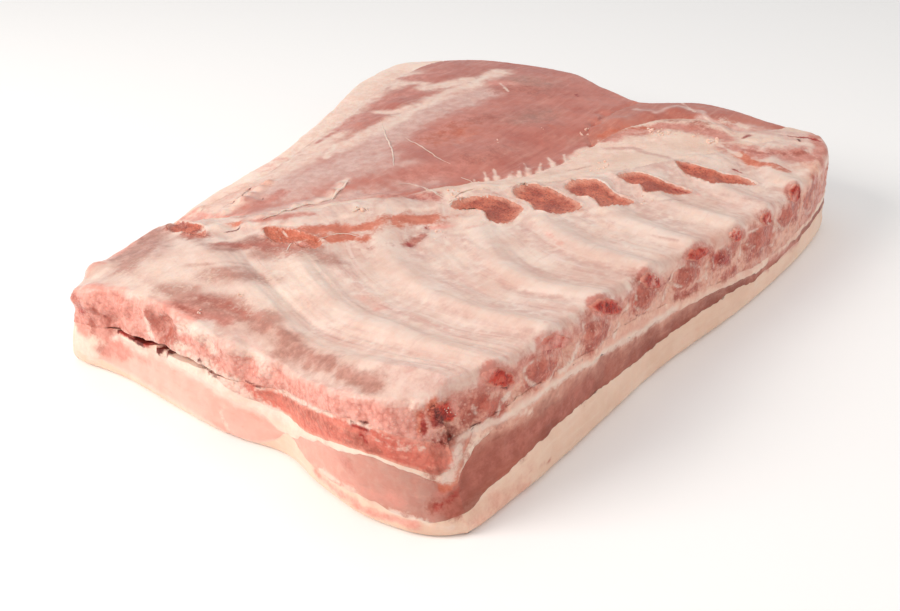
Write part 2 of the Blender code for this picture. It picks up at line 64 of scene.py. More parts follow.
def addCamera(spec):
    data = bpy.data.cameras.new("photoCamera")
    data.sensor_width = spec["sensor"]
    data.lens = spec["sensor"] * spec["focal"] / spec["frame"][0]
    camera = bpy.data.objects.new("photoCamera", data)
    camera.location = Vector(spec["place"]) * millimetre
    camera.rotation_euler = (math.radians(spec["tilt"]), 0.0, math.radians(spec["heading"]))
    bpy.context.scene.collection.objects.link(camera)
    bpy.context.scene.camera = camera
    bpy.context.view_layer.update()
    return camera


camera = addCamera(photoCamera)
cameraTurn = np.array(camera.matrix_world.to_3x3())


# form of the slab: four edges in plan and the levels between its layers
slab = {
    "ribCut": pairsOf("0,0 47,-3 149,-4 233,-12 270,-13 324,-11 350,-6 364,4"),
    "breastEnd": pairsOf("0,0 -9,14 -13,36 -8,66 0,91 -3,118 -1,152 3,190 1,224"),
    "bellyEdge": pairsOf("1,224 30,237 66,243 105,252 190,268 261,292 335,317 370,318 391,301"),
    "flankEnd": pairsOf("364,4 371,22 374,50 383,92 373,121 386,158 404,195 409,240 404,277 391,301"),
    "leanIn": {"ribCut": 0.12, "breastEnd": 0.05, "bellyEdge": 0.20, "flankEnd": 0.05},
    "cornerLean": (1.4, 0.06),          # extra lean at the near corner, and its reach along the rib cut
    "origin": (197.98, 153.39),         # the row frame's origin, from the near corner
}
levels = {
    "fat": {
        "ribCut": pairsOf("0,9 14,13 60,18.5 130,15 205,15 240,12.5 366,18"),
        "breastEnd": pairsOf("0,9 8,7 40,10 76,9 88,13 100,5 150,3.5 200,5 223,8"),
        "bellyEdge": pairsOf("0,8 390,9"),
        "flankEnd": pairsOf("0,18 90,14 315,9"),
    },
    "lean": {
        "ribCut": pairsOf("0,22 12,31 30,35.5 45,36.8 62,36.2 84,33.4 107,31 149,25.8 205,20 240,15.5 "
                          "366,23"),
        "breastEnd": pairsOf("0,22 33,28 55,24.4 76,18.5 88,14.5 100,16.5 120,20.5 149,23.6 165,22.8 "
                             "180,21.8 206,20.5 223,12"),
        "bellyEdge": pairsOf("0,12 390,12"),
        "flankEnd": pairsOf("0,23 90,19 315,12"),
    },
    "floor": {
        "ribCut": pairsOf("0,36 14,39 30,41 45,42 62,41 84,38.6 110,37 154,31 205,24 250,19 366,25"),
        "breastEnd": pairsOf("0,36 16,40 42,42 66,35 107,29.5 150,27 180,24 206,22.6 223,21"),
        "bellyEdge": pairsOf("0,26 60,20 200,18 390,20"),
        "flankEnd": pairsOf("0,25 90,27 315,20"),
    },
    "top": {
        "ribCut": pairsOf("0,53.5 12,56 30,58.2 100,55 183,49.5 252,44.5 300,44 330,46 366,46"),
        "breastEnd": pairsOf("0,53.5 15,53.8 42,50.5 90,42.5 133,46 160,48 200,44 223,38"),
        "bellyEdge": pairsOf("0,38 100,37 390,36"),
        "flankEnd": pairsOf("0,46 80,46 130,43 200,42 315,36"),
    },
}
layers = {
    "ragged": {"fat": (0.8, 11), "lean": (0.85, 21), "floor": (0.5, 31)},     # amount and seed of each level
    "raggedWaves": [(9.0, 1.0), (3.4, 0.6), (1.7, 0.4)],                      # cell and share
    "septum": (0.385, 0.405),           # fat between the two outer leans, in shares of the breast end
    "septumFade": (0.06, 0.05),
    "lensEnd": 0.93,                    # where the breast lean runs out
    "lensFade": 0.07,
    "leanLeast": 1.4,
    "seamLeast": 2.0,
    "innerDepth": pairsOf("0,9 10,13 40,12.5 80,10.5 104,8 118,4.5 128,0"),
    "innerReach": 0.42,                 # shares of the rib cut, full and at the near corner
    "innerStart": 0.035,
    "innerOpens": 0.06,
    "crack": (112, 205),
    "crackOpening": 3.2,
    "breastEndLength": 223.0,
}
hair = 1e-6                             # a share this near an edge is on it
edgeNames = ("ribCut", "bellyEdge", "breastEnd", "flankEnd")


def smoothCurve(knots, values):
    knots = np.array(knots, float)
    values = np.array(values, float).reshape(len(knots), -1)
    slopes = np.gradient(values, knots, axis=0)

    def at(share):
        place = np.clip(np.asarray(share, float) * knots[-1], knots[0], knots[-1])
        i = np.clip(np.searchsorted(knots, place) - 1, 0, len(knots) - 2)
        span = (knots[i + 1] - knots[i])[..., None]
        t = (place - knots[i])[..., None] / span
        rise = t * t * (3 - 2 * t)
        bend = t * (1 - t) ** 2 * span * slopes[i] + t * t * (t - 1) * span * slopes[i + 1]
        return values[i] + rise * (values[i + 1] - values[i]) + bend

    return at


def pathOf(points):
    steps = np.linalg.norm(np.diff(np.array(points, float), axis=0), axis=1)
    return smoothCurve(np.concatenate([[0.0], np.cumsum(steps)]), points)


def profileOf(pairs):
    return smoothCurve([pair[0] for pair in pairs], [pair[1] for pair in pairs])


def patchOf(edges):
    # four-sided patch between edge curves that meet at their corners
    ribCut, bellyEdge, breastEnd, flankEnd = edges

    def at(u, v):
        u = np.asarray(u, float)
        v = np.asarray(v, float)
        nearV = (1 - v)[..., None]
        nearU = (1 - u)[..., None]
        farV = v[..., None]
        farU = u[..., None]
        zero = np.zeros_like(u)
        one = np.ones_like(u)
        across = nearV * ribCut(u) + farV * bellyEdge(u)
        along = nearU * breastEnd(v) + farU * flankEnd(v)
        corners = nearV * (nearU * ribCut(zero) + farU * ribCut(one))
        corners = corners + farV * (nearU * bellyEdge(zero) + farU * bellyEdge(one))
        return across + along - corners

    return at


planPatch = patchOf([pathOf(slab[name]) for name in edgeNames])
levelPatch = {key: patchOf([profileOf(level[name]) for name in edgeNames]) for key, level in levels.items()}
innerDepth = profileOf(layers["innerDepth"])


def smoothStep(low, high, value):
    t = np.clip((value - low) / (high - low), 0.0, 1.0)
    return t * t * (3 - 2 * t)


def noise(points, cell, seed):
    # smooth value noise from -1 to 1, with one value for each cell corner
    q = points / cell + seed * 17.31
    base = np.floor(q).astype(np.int64)
    f = q - base
    f = f * f * (3 - 2 * f)
    total = np.zeros(len(points))
    for corner in range(8):
        step = np.array([corner & 1, corner >> 1 & 1, corner >> 2])
        key = (base + step) @ np.array([374761393, 668265263, 2246822519]) + seed * 3266489917
        key = (key ^ (key >> 13)) * 1274126177
        key = (key ^ (key >> 16)) & 0xFFFF
        weight = np.prod(np.where(step, f, 1 - f), axis=1)
        total += weight * (key / 32767.5 - 1)
    return total


def clouds(points, cell, seed, octaves=3):
    total = np.zeros(len(points))
    for octave in range(octaves):
        total += noise(points, cell / 2.1 ** octave, seed + octave) / 1.9 ** octave
    return total


def leanVector(u, v):
    lean = slab["leanIn"]
    x = lean["breastEnd"] * (1 - u) - lean["flankEnd"] * u
    extra, reach = slab["cornerLean"]
    corner = 1 + extra * np.exp(-(u / reach) ** 2)
    y = lean["ribCut"] * corner * (1 - u ** 4) * (1 - v) - lean["bellyEdge"] * v
    return np.stack([x, y], axis=-1)


def level(key, u, v):
    return levelPatch[key](u, v)[..., 0]


def atFloor(xy):
    return np.column_stack([xy, np.zeros(len(xy))])


def raggedLevel(key, u, v):
    # level between two layers, with the uneven line that a cut shows
    place = atFloor(planPatch(u, v))
    amount, seed = layers["ragged"][key]
    waves = sum(share * noise(place, cell, seed + k) for k, (cell, share) in enumerate(layers["raggedWaves"]))
    return level(key, u, v) + amount * waves


def fatTop(u, v):
    return raggedLevel("fat", u, v)


def leanTop(u, v):
    fat = fatTop(u, v)
    lean = raggedLevel("lean", u, v)
    near, far = layers["septum"]
    nearFade, farFade = layers["septumFade"]
    end = layers["lensEnd"]
    outer = 1 - smoothStep(near - nearFade, near, v)
    inner = smoothStep(far, far + farFade, v) * (1 - smoothStep(end - layers["lensFade"], end, v))
    share = np.where(v < (near + far) / 2, outer, inner)
    return fat + np.maximum(lean - fat, layers["leanLeast"]) * np.sqrt(share)


def floorTop(u, v):
    least = level("lean", u, v) + layers["seamLeast"]
    return np.maximum(raggedLevel("floor", u, v), least)


def seamTop(u, v):
    floor = floorTop(u, v)
    alongEnd = v * layers["breastEndLength"]
    runsOut = layers["innerDepth"][-1][0]
    start = layers["innerStart"]
    reach = start + (layers["innerReach"] - start) * smoothStep(0.0, layers["innerOpens"], v)
    fade = np.sqrt(np.clip(1 - u / reach, 0, 1))
    depth = innerDepth(alongEnd / runsOut)[..., 0] * np.where(alongEnd < runsOut, fade, 0)
    room = floor - level("lean", u, v) - layers["seamLeast"]
    return floor - np.clip(np.minimum(depth, room), 0, None)


def crackLift(u, v):
    low, high = layers["crack"]
    t = np.clip((v * layers["breastEndLength"] - low) / (high - low), 0, 1)
    return layers["crackOpening"] * np.sin(np.pi * t) * (u < hair)


# ribs, arch and flap lines, as in the solids
ribs = {
    "routes": [
        pairsOf("10,12 7,42 15,92 33,138 48,176 67,212"),
        pairsOf("27,6 27,34 35,68 50,110 68,140 97,163"),
        pairsOf("61,3 60,34 71,64 90,98 108,123 139,142"),
        pairsOf("103,2 98,24 107,54 130,78 149,96 178,110"),
        pairsOf("143,0 143,24 151,46 165,66 180,84 206,93"),
        pairsOf("181,-1 183,22 191,42 201,57 212,69 230,76"),
        pairsOf("217,-4 219,14 224,31 231,44 239,52 255,58"),
        pairsOf("251,-6 254,8 260,20 267,30 275,36 289,39"),
        pairsOf("289,-7 294,2 300,8 307,12 314,16 324,20"),
    ],
    "ridge": 3.0,
    "ridgeHalfWidth": 8.0,
    "ridgeLoss": 0.6,                   # share of its height that a ridge loses towards the arch
    "roof": 2.3,                        # meat over a rib
    "halfWidth": 7.6,
    "halfHeight": 5.8,
}
topLines = {
    "archInner": pairsOf("50,270 82,218 104,181 134,160 160,146 189,122 218,102 242,84 269,66 300,47 "
                         "330,27 352,10 386,-14"),
    "archOuter": pairsOf("76,270 92,210 106,190 134,173 162,155 202,140 230,124 262,117 296,116"),
    "rim": pairsOf("87,229 105,236 135,237 194,251 238,262 286,277 332,288 368,291 430,281"),
    "rollCrease": pairsOf("296,116 312,128 340,130 372,124 420,112"),
    "rollNear": pairsOf("296,116 326,106 348,92 352,68 347,46 358,34 398,24"),
    "rollBack": pairsOf("325,114 360,100 368,60"),
}
# each swell: line, rise, shift across the slab, half width
lineSwells = [("archInner", 2.5, 0, 16), ("archOuter", -3.0, 10, 14), ("rollBack", 2.0, 0, 17)]


def sampled(points, count):
    return pathOf(points)(np.linspace(0, 1, count + 1))


def lineDistance(points, line):
    # distance from points to a line, and the share of its length there
    best = np.full(len(points), 1e9)
    share = np.zeros(len(points))
    for k in range(len(line) - 1):
        a = line[k]
        d = line[k + 1] - a
        t = np.clip((points - a) @ d / max(d @ d, 1e-9), 0, 1)
        away = np.linalg.norm(points - a - t[:, None] * d, axis=1)
        closer = away < best
        best = np.where(closer, away, best)
        share = np.where(closer, (k + t) / (len(line) - 1), share)
    return best, share


def ribLine(route):
    u = np.array([route[0][0] / slab["ribCut"][-1][0]])
    v = np.array([0.0])
    z = level("top", u, v)[0] - ribs["roof"] - ribs["halfHeight"]
    y = planPatch(u, v)[0, 1] + z * leanVector(u, v)[0, 1]
    return sampled([(route[0][0], y)] + route[1:], 30)


ribLines = [ribLine(route) for route in ribs["routes"]]
lines = {key: sampled(points, 60) for key, points in topLines.items()}


def ribField(xy):
    # place across the ribs (a whole number on a rib), share along them, and distance from each
    found = [lineDistance(xy, line) for line in ribLines]
    away = np.stack([item[0] for item in found], axis=1)
    share = np.stack([item[1] for item in found], axis=1)
    pair = away[:, :-1] + away[:, 1:]
    k = np.argmin(pair, axis=1)
    rows = np.arange(len(xy))
    t = away[rows, k] / pair[rows, k]
    return k + t, share[rows, k] * (1 - t) + share[rows, k + 1] * t, away


def mainRelief(xy):
    relief = np.zeros(len(xy))
    for line in ribLines:
        away, share = lineDistance(xy, line)
        fade = 1 - ribs["ridgeLoss"] * share ** 3
        relief += ribs["ridge"] * np.exp(-(away / ribs["ridgeHalfWidth"]) ** 2) * fade
    for key, rise, shift, width in lineSwells:
        away, _ = lineDistance(xy, lines[key] + np.array([0, shift]))
        relief += rise * np.exp(-(away / width) ** 2)
    return relief


# pixels of the photograph, placed on the solids
graph = bpy.context.evaluated_depsgraph_get()
rowOrigin = np.array([*slab["origin"], 0.0])


def toScene(points):
    return (points - rowOrigin) * millimetre


def fromScene(points):
    return np.array(points) / millimetre + rowOrigin


def rayThrough(px, py):
    width, height = photoCamera["frame"]
    ray = cameraTurn @ np.array([px - width / 2, height / 2 - py, -photoCamera["focal"]])
    return Vector(ray).normalized()


def cast(px, py):
    hit, place, normal, *_ = bpy.context.scene.ray_cast(graph, camera.location, rayThrough(px, py))
    return (fromScene(place), np.array(normal)) if hit else None


def photoPoint(pixel):
    # the point of the solids that a pixel shows, or the nearest one inside their outline
    px, py = pixel
    for reach in range(0, 40, 2):
        for dx, dy in ((0, 0), (1, 0), (-1, 0), (0, 1), (0, -1), (1, 1), (-1, 1), (1, -1), (-1, -1)):
            found = cast(px + dx * reach, py + dy * reach)
            if found is not None:
                return found
    raise RuntimeError(f"no surface near pixel {pixel}")


def placesOf(text):
    return np.array([photoPoint(pixel)[0] for pixel in pairsOf(text)])


print("form ready")


# modelling helpers
def setVertices(piece, points):
    piece.data.vertices.foreach_set("co", toScene(points).astype(np.float32).ravel())
    piece.data.update()


def readVertices(piece):
    points = np.empty(len(piece.data.vertices) * 3, np.float32)
    piece.data.vertices.foreach_get("co", points)
    return points.reshape(-1, 3).astype(float)


def newPiece(name):
    piece = bpy.context.object
    piece.name = name
    piece.data.name = name
    return piece


def ringStack(name, count, rows):
    # a disc extruded upwards row by row: every vertex keeps its station round the ring
    bpy.ops.object.select_all(action="DESELECT")
    bpy.ops.mesh.primitive_circle_add(vertices=count, radius=1, fill_type="NGON")
    piece = newPiece(name)
    station = piece.data.attributes.new("station", "INT", "POINT")
    station.data.foreach_set("value", list(range(count)))
    bpy.ops.object.mode_set(mode="EDIT")
    bpy.ops.mesh.select_all(action="SELECT")
    for _ in range(rows):
        bpy.ops.mesh.extrude_region_move(TRANSFORM_OT_translate={"value": (0, 0, 1)})
    bpy.ops.object.mode_set(mode="OBJECT")
    stations = np.empty(len(piece.data.vertices), np.int32)
    piece.data.attributes["station"].data.foreach_get("value", stations)
    row = np.rint(readVertices(piece)[:, 2]).astype(int)
    return piece, stations, row


smallAngle = 60.0                       # smoothing angle of ribs and small pieces, in degrees


def smoothPiece(piece, angle=50.0):
    bpy.ops.object.select_all(action="DESELECT")
    piece.select_set(True)
    bpy.context.view_layer.objects.active = piece
    bpy.ops.object.mode_set(mode="EDIT")
    bpy.ops.mesh.select_all(action="SELECT")
    bpy.ops.mesh.normals_make_consistent(inside=False)
    bpy.ops.object.mode_set(mode="OBJECT")
    bpy.ops.object.shade_smooth_by_angle(angle=math.radians(angle))


def setFloats(piece, name, values):
    attribute = piece.data.attributes.new(name, "FLOAT", "POINT")
    attribute.data.foreach_set("value", np.asarray(values, np.float32))


def insideOutline(points, outline):
    x = points[:, 0]
    y = points[:, 1]
    inside = np.zeros(len(points), bool)
    for a, b in zip(outline, np.roll(outline, -1, axis=0)):
        if a[1] == b[1]:
            continue
        crosses = (a[1] > y) != (b[1] > y)
        inside ^= crosses & (x < a[0] + (y - a[1]) * (b[0] - a[0]) / (b[1] - a[1]))
    return inside


def closedCurve(points, count):
    points = np.asarray(points, float)
    wrapped = np.vstack([points[-2:], points, points[:2]])
    steps = np.linalg.norm(np.diff(wrapped, axis=0), axis=1)
    knots = np.concatenate([[0.0], np.cumsum(steps)])
    curve = smoothCurve(knots, wrapped)
    start = knots[2]
    end = knots[len(points) + 2]
    return curve((start + (end - start) * np.arange(count) / count) / knots[-1])


# outer walls
walls = {
    "topRound": 2.4,                    # radius of the upper edge
    "scallop": 1.1,                     # rounder upper edge between the ribs
    "skinRound": 5.0,                   # radius of the lower edge
    "skinTuck": 0.6,
    "cornerRound": 6.0,
    "cornerCut": 1.7,
}
cloudSpecs = {                          # amount, cell, seed, octaves
    "wallSwell": (0.55, 19.0, 41, 2),
    "wallChop": (0.3, 4.5, 47, 2),
    "wallTorn": (0.5, 3.2, 53, 2),      # torn, granular meat above the seam
    "fold": (0.55, 34.0, 61, 3),
    "pimple": (0.12, 5.0, 67, 2),
    "wrinkle": (0.42, 1.5, 71, 3),
    "flapFibre": (0.22, 3.2, 79, 3),
    "archCrumple": (0.55, 6.5, 87, 3),  # torn, lumpy fat along the arch
    "edgeRound": (0.35, 11.0, 83, 1),
    "cutBorder": (1.3, 3.0, 89, 1),     # where the colour of the cut starts below the upper edge
    "cutBorderFine": (0.8, 1.4, 90, 1),
    "sawMarks": (0.3, 1.2, 101, 1),
    "sawWaves": (0.35, 2.6, 102, 1),
    "marrowEdge": (0.14, 2.2, 107, 1),
    "capEdge": (0.1, 2.6, 109, 1),
    "boneGrain": (0.28, 1.3, 103, 1),
    "boneLumps": (0.224, 3.1, 105, 1),
}
cornerPlaces = np.array([slab[edge][end] for edge, end in (("ribCut", 0), ("ribCut", -1), ("bellyEdge", 0),
                                                           ("bellyEdge", -1))], float)


def clouded(kind, points):
    amount, cell, seed, octaves = cloudSpecs[kind]
    return amount * clouds(points, cell, seed, octaves)


def outward(u, v):
    # horizontal direction out of the slab at a place on its border
    step = 1e-3
    total = np.zeros((len(u), 2))
    alongU = planPatch(np.clip(u + step, 0, 1), v) - planPatch(np.clip(u - step, 0, 1), v)
    alongV = planPatch(u, np.clip(v + step, 0, 1)) - planPatch(u, np.clip(v - step, 0, 1))
    for on, tangent, sign in ((v < hair, alongU, 1), (v > 1 - hair, alongU, -1),
                              (u > 1 - hair, alongV, 1), (u < hair, alongV, -1)):
        normal = sign * np.stack([tangent[:, 1], -tangent[:, 0]], axis=-1)
        normal /= np.maximum(np.linalg.norm(normal, axis=1), 1e-9)[:, None]
        total += np.where(on[:, None], normal, 0)
    return total / np.maximum(np.linalg.norm(total, axis=1), 1e-9)[:, None]


def wallPush(points):
    # how far the cut face swells out at a point
    push = clouded("wallSwell", points) + clouded("wallChop", points)
    low = np.clip(1 - points[:, 2] / walls["skinRound"], 0, 1)
    return push * (1 - low) - walls["skinRound"] * (1 - np.sqrt(1 - low ** 2)) * walls["skinTuck"]


def cornerSoftened(xy):
    moved = xy.copy()
    middle = cornerPlaces.mean(axis=0)
    for place in cornerPlaces:
        towards = (middle - place) / np.linalg.norm(middle - place)
        away = np.linalg.norm(xy - place, axis=1)
        moved += towards * (walls["cornerCut"] * np.exp(-(away / walls["cornerRound"]) ** 2))[:, None]
    return moved


def wallPoints(u, v, z, bulge=0.0, torn=False):
    xy = planPatch(u, v) + z[:, None] * leanVector(u, v)
    points = np.column_stack([xy, z])
    normal = outward(u, v)
    push = wallPush(points) + bulge
    if torn:
        push = push + clouded("wallTorn", points)
    xy = cornerSoftened(xy + normal * push[:, None])
    return np.column_stack([xy, z]), atFloor(normal)


# lumps and hollows: pixel, radius, height
lumpReach = 2.6                         # radii
lumps = {
    "muscles between the ribs": [
        (484, 406, 4.6, 1.9), (542, 367, 5.4, 2.2), (596, 331, 5.4, 2.2), (644, 295, 5.6, 2.2),
        (688, 274, 5.6, 2.0), (723, 257, 4.6, 1.8), (760, 239, 6.2, 2.2), (788, 212, 5.6, 2.0),
    ],
    "hollows between the lumps": [
        (470, 412, 2.4, -1.6), (518, 392, 3.0, -1.7), (568, 352, 3.0, -1.7), (624, 318, 3.0, -1.6),
        (670, 288, 3.0, -1.4), (706, 268, 2.8, -1.3), (744, 246, 2.8, -1.3),
    ],
    "near corner": [
        (446, 438, 4.0, -5.0), (452, 431, 3.0, -3.0), (447, 414, 4.5, -1.6), (428, 408, 3.2, 1.8),
        (440, 458, 4.5, 0.9), (363, 438, 2.0, -0.9), (436, 470, 3.0, 1.0), (417, 405, 2.2, 1.4),
    ],
    "torn breast end": [
        (90, 300, 6.5, 3.0), (112, 322, 4.0, -3.8), (126, 306, 4.5, 3.0), (132, 330, 3.0, 1.6),
        (163, 328, 5.5, -4.0), (148, 312, 3.2, 2.4), (166, 351, 3.2, -3.6), (152, 349, 2.6, -2.4),
        (178, 322, 3.0, 2.2), (196, 333, 4.2, 2.2), (208, 345, 3.2, -1.6), (232, 350, 5.5, 2.4),
        (100, 345, 4.0, -1.0), (86, 348, 5.5, 1.2), (206, 372, 2.2, -1.8), (262, 372, 4.5, 1.6),
        (138, 296, 3.0, -1.6), (116, 296, 3.0, -1.6), (250, 360, 3.0, -1.4), (91, 270, 7.0, 3.2),
        (76, 300, 3.5, 1.4), (218, 360, 2.6, -1.4), (280, 384, 3.2, 1.2), (172, 342, 2.4, 1.2),
        (300, 396, 3.0, -0.9), (340, 408, 4.0, 0.9), (386, 418, 3.6, 0.9),
    ],
    "belly flap": [
        (245, 203, 5.5, 1.8), (233, 207, 2.5, -1.2), (262, 199, 2.5, -1.2), (198, 209, 4.0, 1.2),
        (206, 217, 3.0, -1.4), (596, 122, 4.0, -2.6), (604, 113, 4.0, -1.6), (415, 198, 9.0, -1.6),
        (450, 140, 24.0, -1.6), (400, 105, 11.0, 1.2), (345, 190, 7.0, 0.8), (540, 130, 16.0, 1.2),
        (224, 214, 3.2, 1.5), (233, 209, 3.2, 1.5), (242, 203, 3.2, 1.5), (251, 196, 3.2, 1.5),
        (260, 189, 3.0, 1.5), (268, 183, 2.6, 1.5), (233, 203, 1.8, -1.4), (242, 197, 1.8, -1.4),
        (250, 190, 1.8, -1.4), (333, 194, 2.8, 1.8), (262, 219, 2.4, 1.2), (273, 215, 2.4, 1.2),
        (284, 211, 2.4, 1.2), (295, 207, 2.4, 1.2), (306, 204, 2.4, 1.2), (318, 201, 2.4, 1.2),
        (341, 186, 2.0, 1.0), (385, 118, 5.0, 0.8), (424, 101, 5.0, 0.8), (360, 124, 5.0, 0.8),
    ],
    "flank roll": [
        (618, 121, 6.0, 1.4), (648, 113, 6.0, 1.3), (676, 110, 6.0, 1.4), (700, 116, 6.0, 1.2),
        (722, 128, 5.0, 1.0), (650, 127, 5.0, -1.0), (690, 129, 5.0, -1.0), (752, 140, 3.0, 0.9),
        (776, 152, 4.0, -0.9), (800, 150, 4.0, 0.8),
    ],
    "arch": [
        (217, 229, 4.0, 1.8), (247, 227, 3.0, 1.5), (234, 227, 3.2, -1.6), (180, 230, 5.0, -0.8),
        (292, 239, 7.0, -1.1), (344, 243, 4.5, 0.8), (430, 231, 3.0, -1.2), (410, 246, 3.5, -0.9),
        (486, 190, 6.0, 1.2), (545, 178, 6.0, 1.0), (608, 166, 6.0, 0.9), (462, 222, 4.0, 1.4),
        (457, 242, 3.0, 0.9), (436, 256, 5.0, -0.8),
    ],
}
fringeBumps = {"shares": (0.0, 0.3, 0.6), "radius": 1.5, "height": 0.35}
fringe = [                              # torn fingers of the arch fat: root and tip, half width
    ("489,184 483,169", 1.5), ("499,182 492,167", 1.9), ("508,180 514,170", 1.3), ("520,176 519,166", 1.2),
    ("529,174 522,162", 1.6), ("538,172 542,161", 1.3), ("556,168 547,155", 1.9), ("567,164 563,152", 1.4),
    ("584,160 577,148", 1.5), ("602,153 597,137", 2.0), ("612,150 610,137", 1.3), ("628,147 619,134", 2.2),
    ("641,145 636,133", 1.4), ("656,140 652,130", 1.2), ("452,200 444,188", 1.6), ("462,197 451,189", 1.5),
    ("470,194 461,182", 1.3), ("478,188 473,178", 1.4),
]
lumpPlaces = [(photoPoint((px, py))[0], radius, height)
              for group in lumps.values() for px, py, radius, height in group]
for text, halfWidth in fringe:
    root, tip = placesOf(text)
    for share in fringeBumps["shares"]:
        place = root * (1 - share) + tip * share
        lumpPlaces.append((place, fringeBumps["radius"] * halfWidth, fringeBumps["height"]))


def sculpted(points, normals):
    moved = points.copy()
    for place, radius, height in lumpPlaces:
        near = np.abs(points - place).max(axis=1) < lumpReach * radius
        away = np.linalg.norm(points[near] - place, axis=1)
        moved[near] += normals[near] * (height * np.exp(-(away / radius) ** 2))[:, None]
    moved[:, 2] = np.maximum(moved[:, 2], 0.0)
    return moved


# bared ends of the ribs: outlines in pixels, drawn round each porous oval
baredEnds = {
    "rib_03": "450,208 459,201 482,198 508,202 523,209 517,221 506,227 491,225 482,217 469,211 459,212",
    "rib_04": "512,195 527,188 548,191 568,200 581,211 558,217 537,214 527,205 517,201",
    "rib_05": "564,190 577,181 598,184 614,193 634,205 619,208 604,210 588,199 576,195",
    "rib_06": "617,178 629,174 655,180 674,187 692,196 676,197 659,194 646,195 638,187 628,183",
    "rib_07": "676,164 690,166 706,171 728,175 744,180 757,186 736,186 715,185 697,180 683,173",
    "rib_02": "266,231 280,230 300,237 322,244 318,252 304,253 290,247 276,246 267,240",
    "rib_01": "167,226 177,222 190,224 203,228 203,238 191,238 182,232 172,232",
}
baredForm = {"stations": 72, "dish": 1.3, "dishEdge": 1.6, "lip": 0.8, "lipWidth": 1.5, "reach": 45}
baredOutlines = {
    key: closedCurve(placesOf(text)[:, :2], baredForm["stations"]) for key, text in baredEnds.items()
}


def baredRelief(xy):
    relief = np.zeros(len(xy))
    for outline in baredOutlines.values():
        middle = outline.mean(axis=0)
        near = np.abs(xy - middle).max(axis=1) < baredForm["reach"]
        closed = np.vstack([outline, outline[:1]])
        away, _ = lineDistance(xy[near], closed)
        inside = insideOutline(xy[near], outline)
        dish = -baredForm["dish"] * smoothStep(0, baredForm["dishEdge"], away) * inside
        lip = baredForm["lip"] * np.exp(-(away / baredForm["lipWidth"]) ** 2) * ~inside
        relief[near] += dish + lip
    return relief


# upper surface, on one grid that all the top pieces share
topForm = {
    "alongCut": 400,                    # cells along the rib cut
    "acrossCut": 300,                   # cells from the rib cut to the belly edge
    "crowding": 0.42,                   # how much the cells crowd towards the edges
    "ribWaves": (9.0, 1.5),             # wrinkles across the ribs, and their slant
    "lengthWaves": 5.0,
    "wrinkleReach": (60, 10),           # distance from a rib over which the wrinkles set in
    "fibreTurn": 24,                    # degrees
    "fibreStretch": 0.16,
    "crumpleWidth": 8.0,
    "grooves": [("archOuter", -1.3, 2.0), ("rollCrease", -1.3, 2.0), ("rollNear", -0.9, 2.6),
                ("rim", -0.5, 3.0)],
    "snap": 0.8,                        # furthest that a grid corner moves onto a border
    "calmEdge": (-1, 5),                # distance from the edge over which the fine relief sets in
    "betweenRibs": 6.0,
    "scallopFade": 12,
    "wallReach": 7,                     # how far the swell of the walls reaches in
    "lipTilt": 1.05,
}


def crowded(count):
    t = np.linspace(0, 1, count + 1)
    return t - topForm["crowding"] * np.sin(2 * np.pi * t) / (2 * np.pi)


def fineRelief(xy):
    # folds, wrinkles and small bumps of the upper surface
    flat = atFloor(xy)
    across, along, away = ribField(xy)
    beyond = insideOutline(xy, outlines["beyondRibs"])
    relief = clouded("fold", flat) + clouded("pimple", flat)
    waves, slant = topForm["ribWaves"]
    wave = np.column_stack([across * waves + along * slant, along * topForm["lengthWaves"], flat[:, 2]])
    nearRibs = smoothStep(*topForm["wrinkleReach"], away.min(axis=1))
    relief += np.where(beyond, 0, clouded("wrinkle", wave) * nearRibs)
    turn = math.radians(topForm["fibreTurn"])
    cosine = math.cos(turn)
    sine = math.sin(turn)
    fibre = flat @ np.array([[cosine, -sine, 0], [sine, cosine, 0], [0, 0, 1]])
    fibre[:, 0] *= topForm["fibreStretch"]
    relief += np.where(beyond, clouded("flapFibre", fibre), 0)
    archGap = np.minimum(lineDistance(xy, lines["archInner"])[0], lineDistance(xy, lines["archOuter"])[0])
    relief += clouded("archCrumple", flat) * np.exp(-(archGap / topForm["crumpleWidth"]) ** 2)
    for key, rise, width in topForm["grooves"]:
        gap, _ = lineDistance(xy, lines[key])
        relief += rise * np.exp(-(gap / width) ** 2)
    return relief + baredRelief(xy)


def regionOutlines():
    inner = lines["archInner"]
    outer = lines["archOuter"]
    rim = lines["rim"]
    crease = lines["rollCrease"]
    near = lines["rollNear"]
    farX = 460.0                        # both lie outside the slab
    farY = 380.0
    return {
        "beyondRibs": np.vstack([inner, [(farX, -60), (farX, farY), (50, farY)]]),
        "costalArchFat": np.vstack([inner, near[::-1][:-1], outer[::-1]]),
        "flankRoll": np.vstack([crease[::-1], near[1:]]),
        "bellyRim": np.vstack([rim, [(farX, rim[-1][1]), (farX, farY), (77, farY), (77, 270)],
                               outer[outer[:, 1] > rim[0][1]]]),
    }


outlines = regionOutlines()
topPieces = ("ribSheet", "costalArchFat", "flankRoll", "bellyRim", "bellyFlap")
borderLines = ("archInner", "archOuter", "rim", "rollCrease", "rollNear")


def borderDistance(u, v):
    # distance in plan to each of the four borders
    here = planPatch(u, v)
    found = []
    for uu, vv in ((u, 0 * v), (1 + 0 * u, v), (u, 1 + 0 * v), (0 * u, v)):
        found.append(np.linalg.norm(here - planPatch(uu, vv), axis=1))
    return np.stack(found, axis=1)


